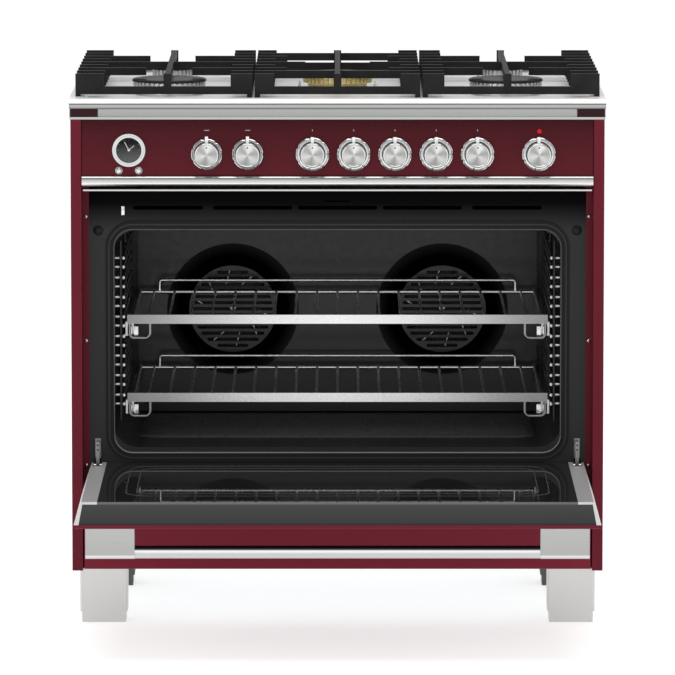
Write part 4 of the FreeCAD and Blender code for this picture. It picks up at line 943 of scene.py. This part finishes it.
def make_frame_details():
    """Jamb screws, door bumpers, the door switch and a black sheet of painted shade behind the cooling slots.
    """
    low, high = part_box("oven_front_frame")
    screw_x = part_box("side_panel_right")[0].x + 5.5 * MM
    screw_y, screw_heights = low.y - 2 * MM, (0.698, 0.484, 0.269)
    bumper = [(9, 0), (9, 0.8), (7.6, 1.6), (6.8, 1.6), (6, 2.6), (3, 3.0), (0, 3.0)]
    bumper_x, bumper_z = 0.408, 0.674
    switch_x, switch_z, slots_z = -0.366, 0.708, 0.715
    for side, word in SIDES:
        for i, z in enumerate(screw_heights):
            make_screw(f"jamb_screw_{word}_{i}", (side * screw_x, screw_y, z))
        place = (side * bumper_x, low.y, bumper_z)
        add_turned(f"door_bumper_{side + 1}", bumper, ROOT, "black", place, (), 50, 36)

    bm = bmesh.new()
    block(bm, (6, 3, 16), (0, -0.6 * MM, 0), round_edges=0.9)
    lathe(bm, [(2.2, 2.0), (2.2, 2.5), (1.4, 2.9), (0, 3.0)], FRONT, at=(0, 0, 5 * MM), steps=20)
    add("door_switch", bm, ROOT, "chrome", (switch_x, low.y, switch_z), sharp=50)
    # painted shade: a black sheet behind the frame's cooling slots
    bm = bmesh.new()
    block(bm, (720, 1, 30))
    add("slot_shade", bm, ROOT, "deep", (0, high.y + 12 * MM, slots_z))


def make_door_lines():
    """Fine printed outlines on the door's black inner glass."""
    wide = 3
    centre = middle("door_inner_glass") + Vector((0, 10 * MM, 0))
    centre.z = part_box("door_inner_glass")[1].z
    for name, width, depth, corner in (("door_line_outer", 704, 356, 46), ("door_line_inner", 668, 300, 30)):
        outer = rounded_loop(width, depth, corner)
        inner = rounded_loop(width - wide, depth - wide, corner - wide / 2)
        bm = bmesh.new()
        frame_band(bm, outer, inner, 0, 0.35)
        add(name, bm, "door", "print", centre)


def make_floor_panel():
    """A low pressed panel in the oven's floor, with rounded corners and a sloping edge; its grey enamel is a
    painted reflection of the oven's bright opening.
    """
    width, depth, corner, slope, shift = 690, 300, 34, 4, 20
    steel = 2
    foot = rounded_loop(width, depth, corner)
    top = rounded_loop(width - 2 * slope, depth - 2 * slope, corner - slope)
    bm = bmesh.new()
    foot_ring = [bm.verts.new((x * MM, y * MM, 0.1 * MM)) for x, y in foot]
    top_ring = [bm.verts.new((x * MM, y * MM, 2.4 * MM)) for x, y in top]
    for i in range(len(foot)):
        j = (i + 1) % len(foot)
        bm.faces.new((foot_ring[i], foot_ring[j], top_ring[j], top_ring[i]))
    bm.faces.new(top_ring)
    place = (0, middle("oven_liner").y + shift * MM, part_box("oven_liner")[0].z + steel * MM)
    add("floor_panel", bm, ROOT, "floor_reflection_enamel", place, sharp=60)


def make_fan_rings():
    """A shallow ring of painted shade round each fan grille, and the screws that hold the fan cover."""
    low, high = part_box("rear_baffle")
    ring = [(77.5, 0.2), (78.2, 1.6), (79, 1.8), (80, 0.9), (84, 0.6), (100, 0.5), (117, 0.2)]
    for word in ("left", "right"):
        place = facing("oven_fan_" + word, low.y)
        add_turned("fan_shade_ring_" + word, ring, ROOT, "ring_shade", place, (), 60, 96)
    for i, x in enumerate((low.x + 14 * MM, high.x - 14 * MM)):
        for j, z in enumerate((low.z + 16 * MM, high.z - 16 * MM)):
            make_screw(f"baffle_screw_{i}_{j}", (x, low.y, z), "black")


# ---------------------------------------------------------------- everything in order

MATERIALS = {**make_paints(), **make_metals(), **make_other_materials()}
make_camera()
make_studio()

dress_nodes()
paint_light_on_nodes()
for rack_name in ("rack_upper", "rack_lower"):
    brighten_wires(NODES[rack_name])
dull_frame_top(NODES["oven_front_frame"])

for knob_name in KNOBS:
    make_knob(knob_name)
for position, knob_name in enumerate(KNOBS):
    make_bezel(knob_name, 0.9 * position)
make_clock()
make_clock_hand("clock_minute_hand", long=15.6, lean=-28, lift=2.8)
make_clock_hand("clock_hour_hand", long=11.5, lean=51, lift=1.3)
make_clock_button("clock_button_left")
make_clock_button("clock_button_right")
make_lamp()
for knob_name in KNOBS:
    make_knob_mark(knob_name)
make_burners()
make_seals()
make_rail_ends()
make_fan_vanes()
make_claw_holes()
make_frame_details()
make_door_lines()
make_floor_panel()
make_fan_rings()
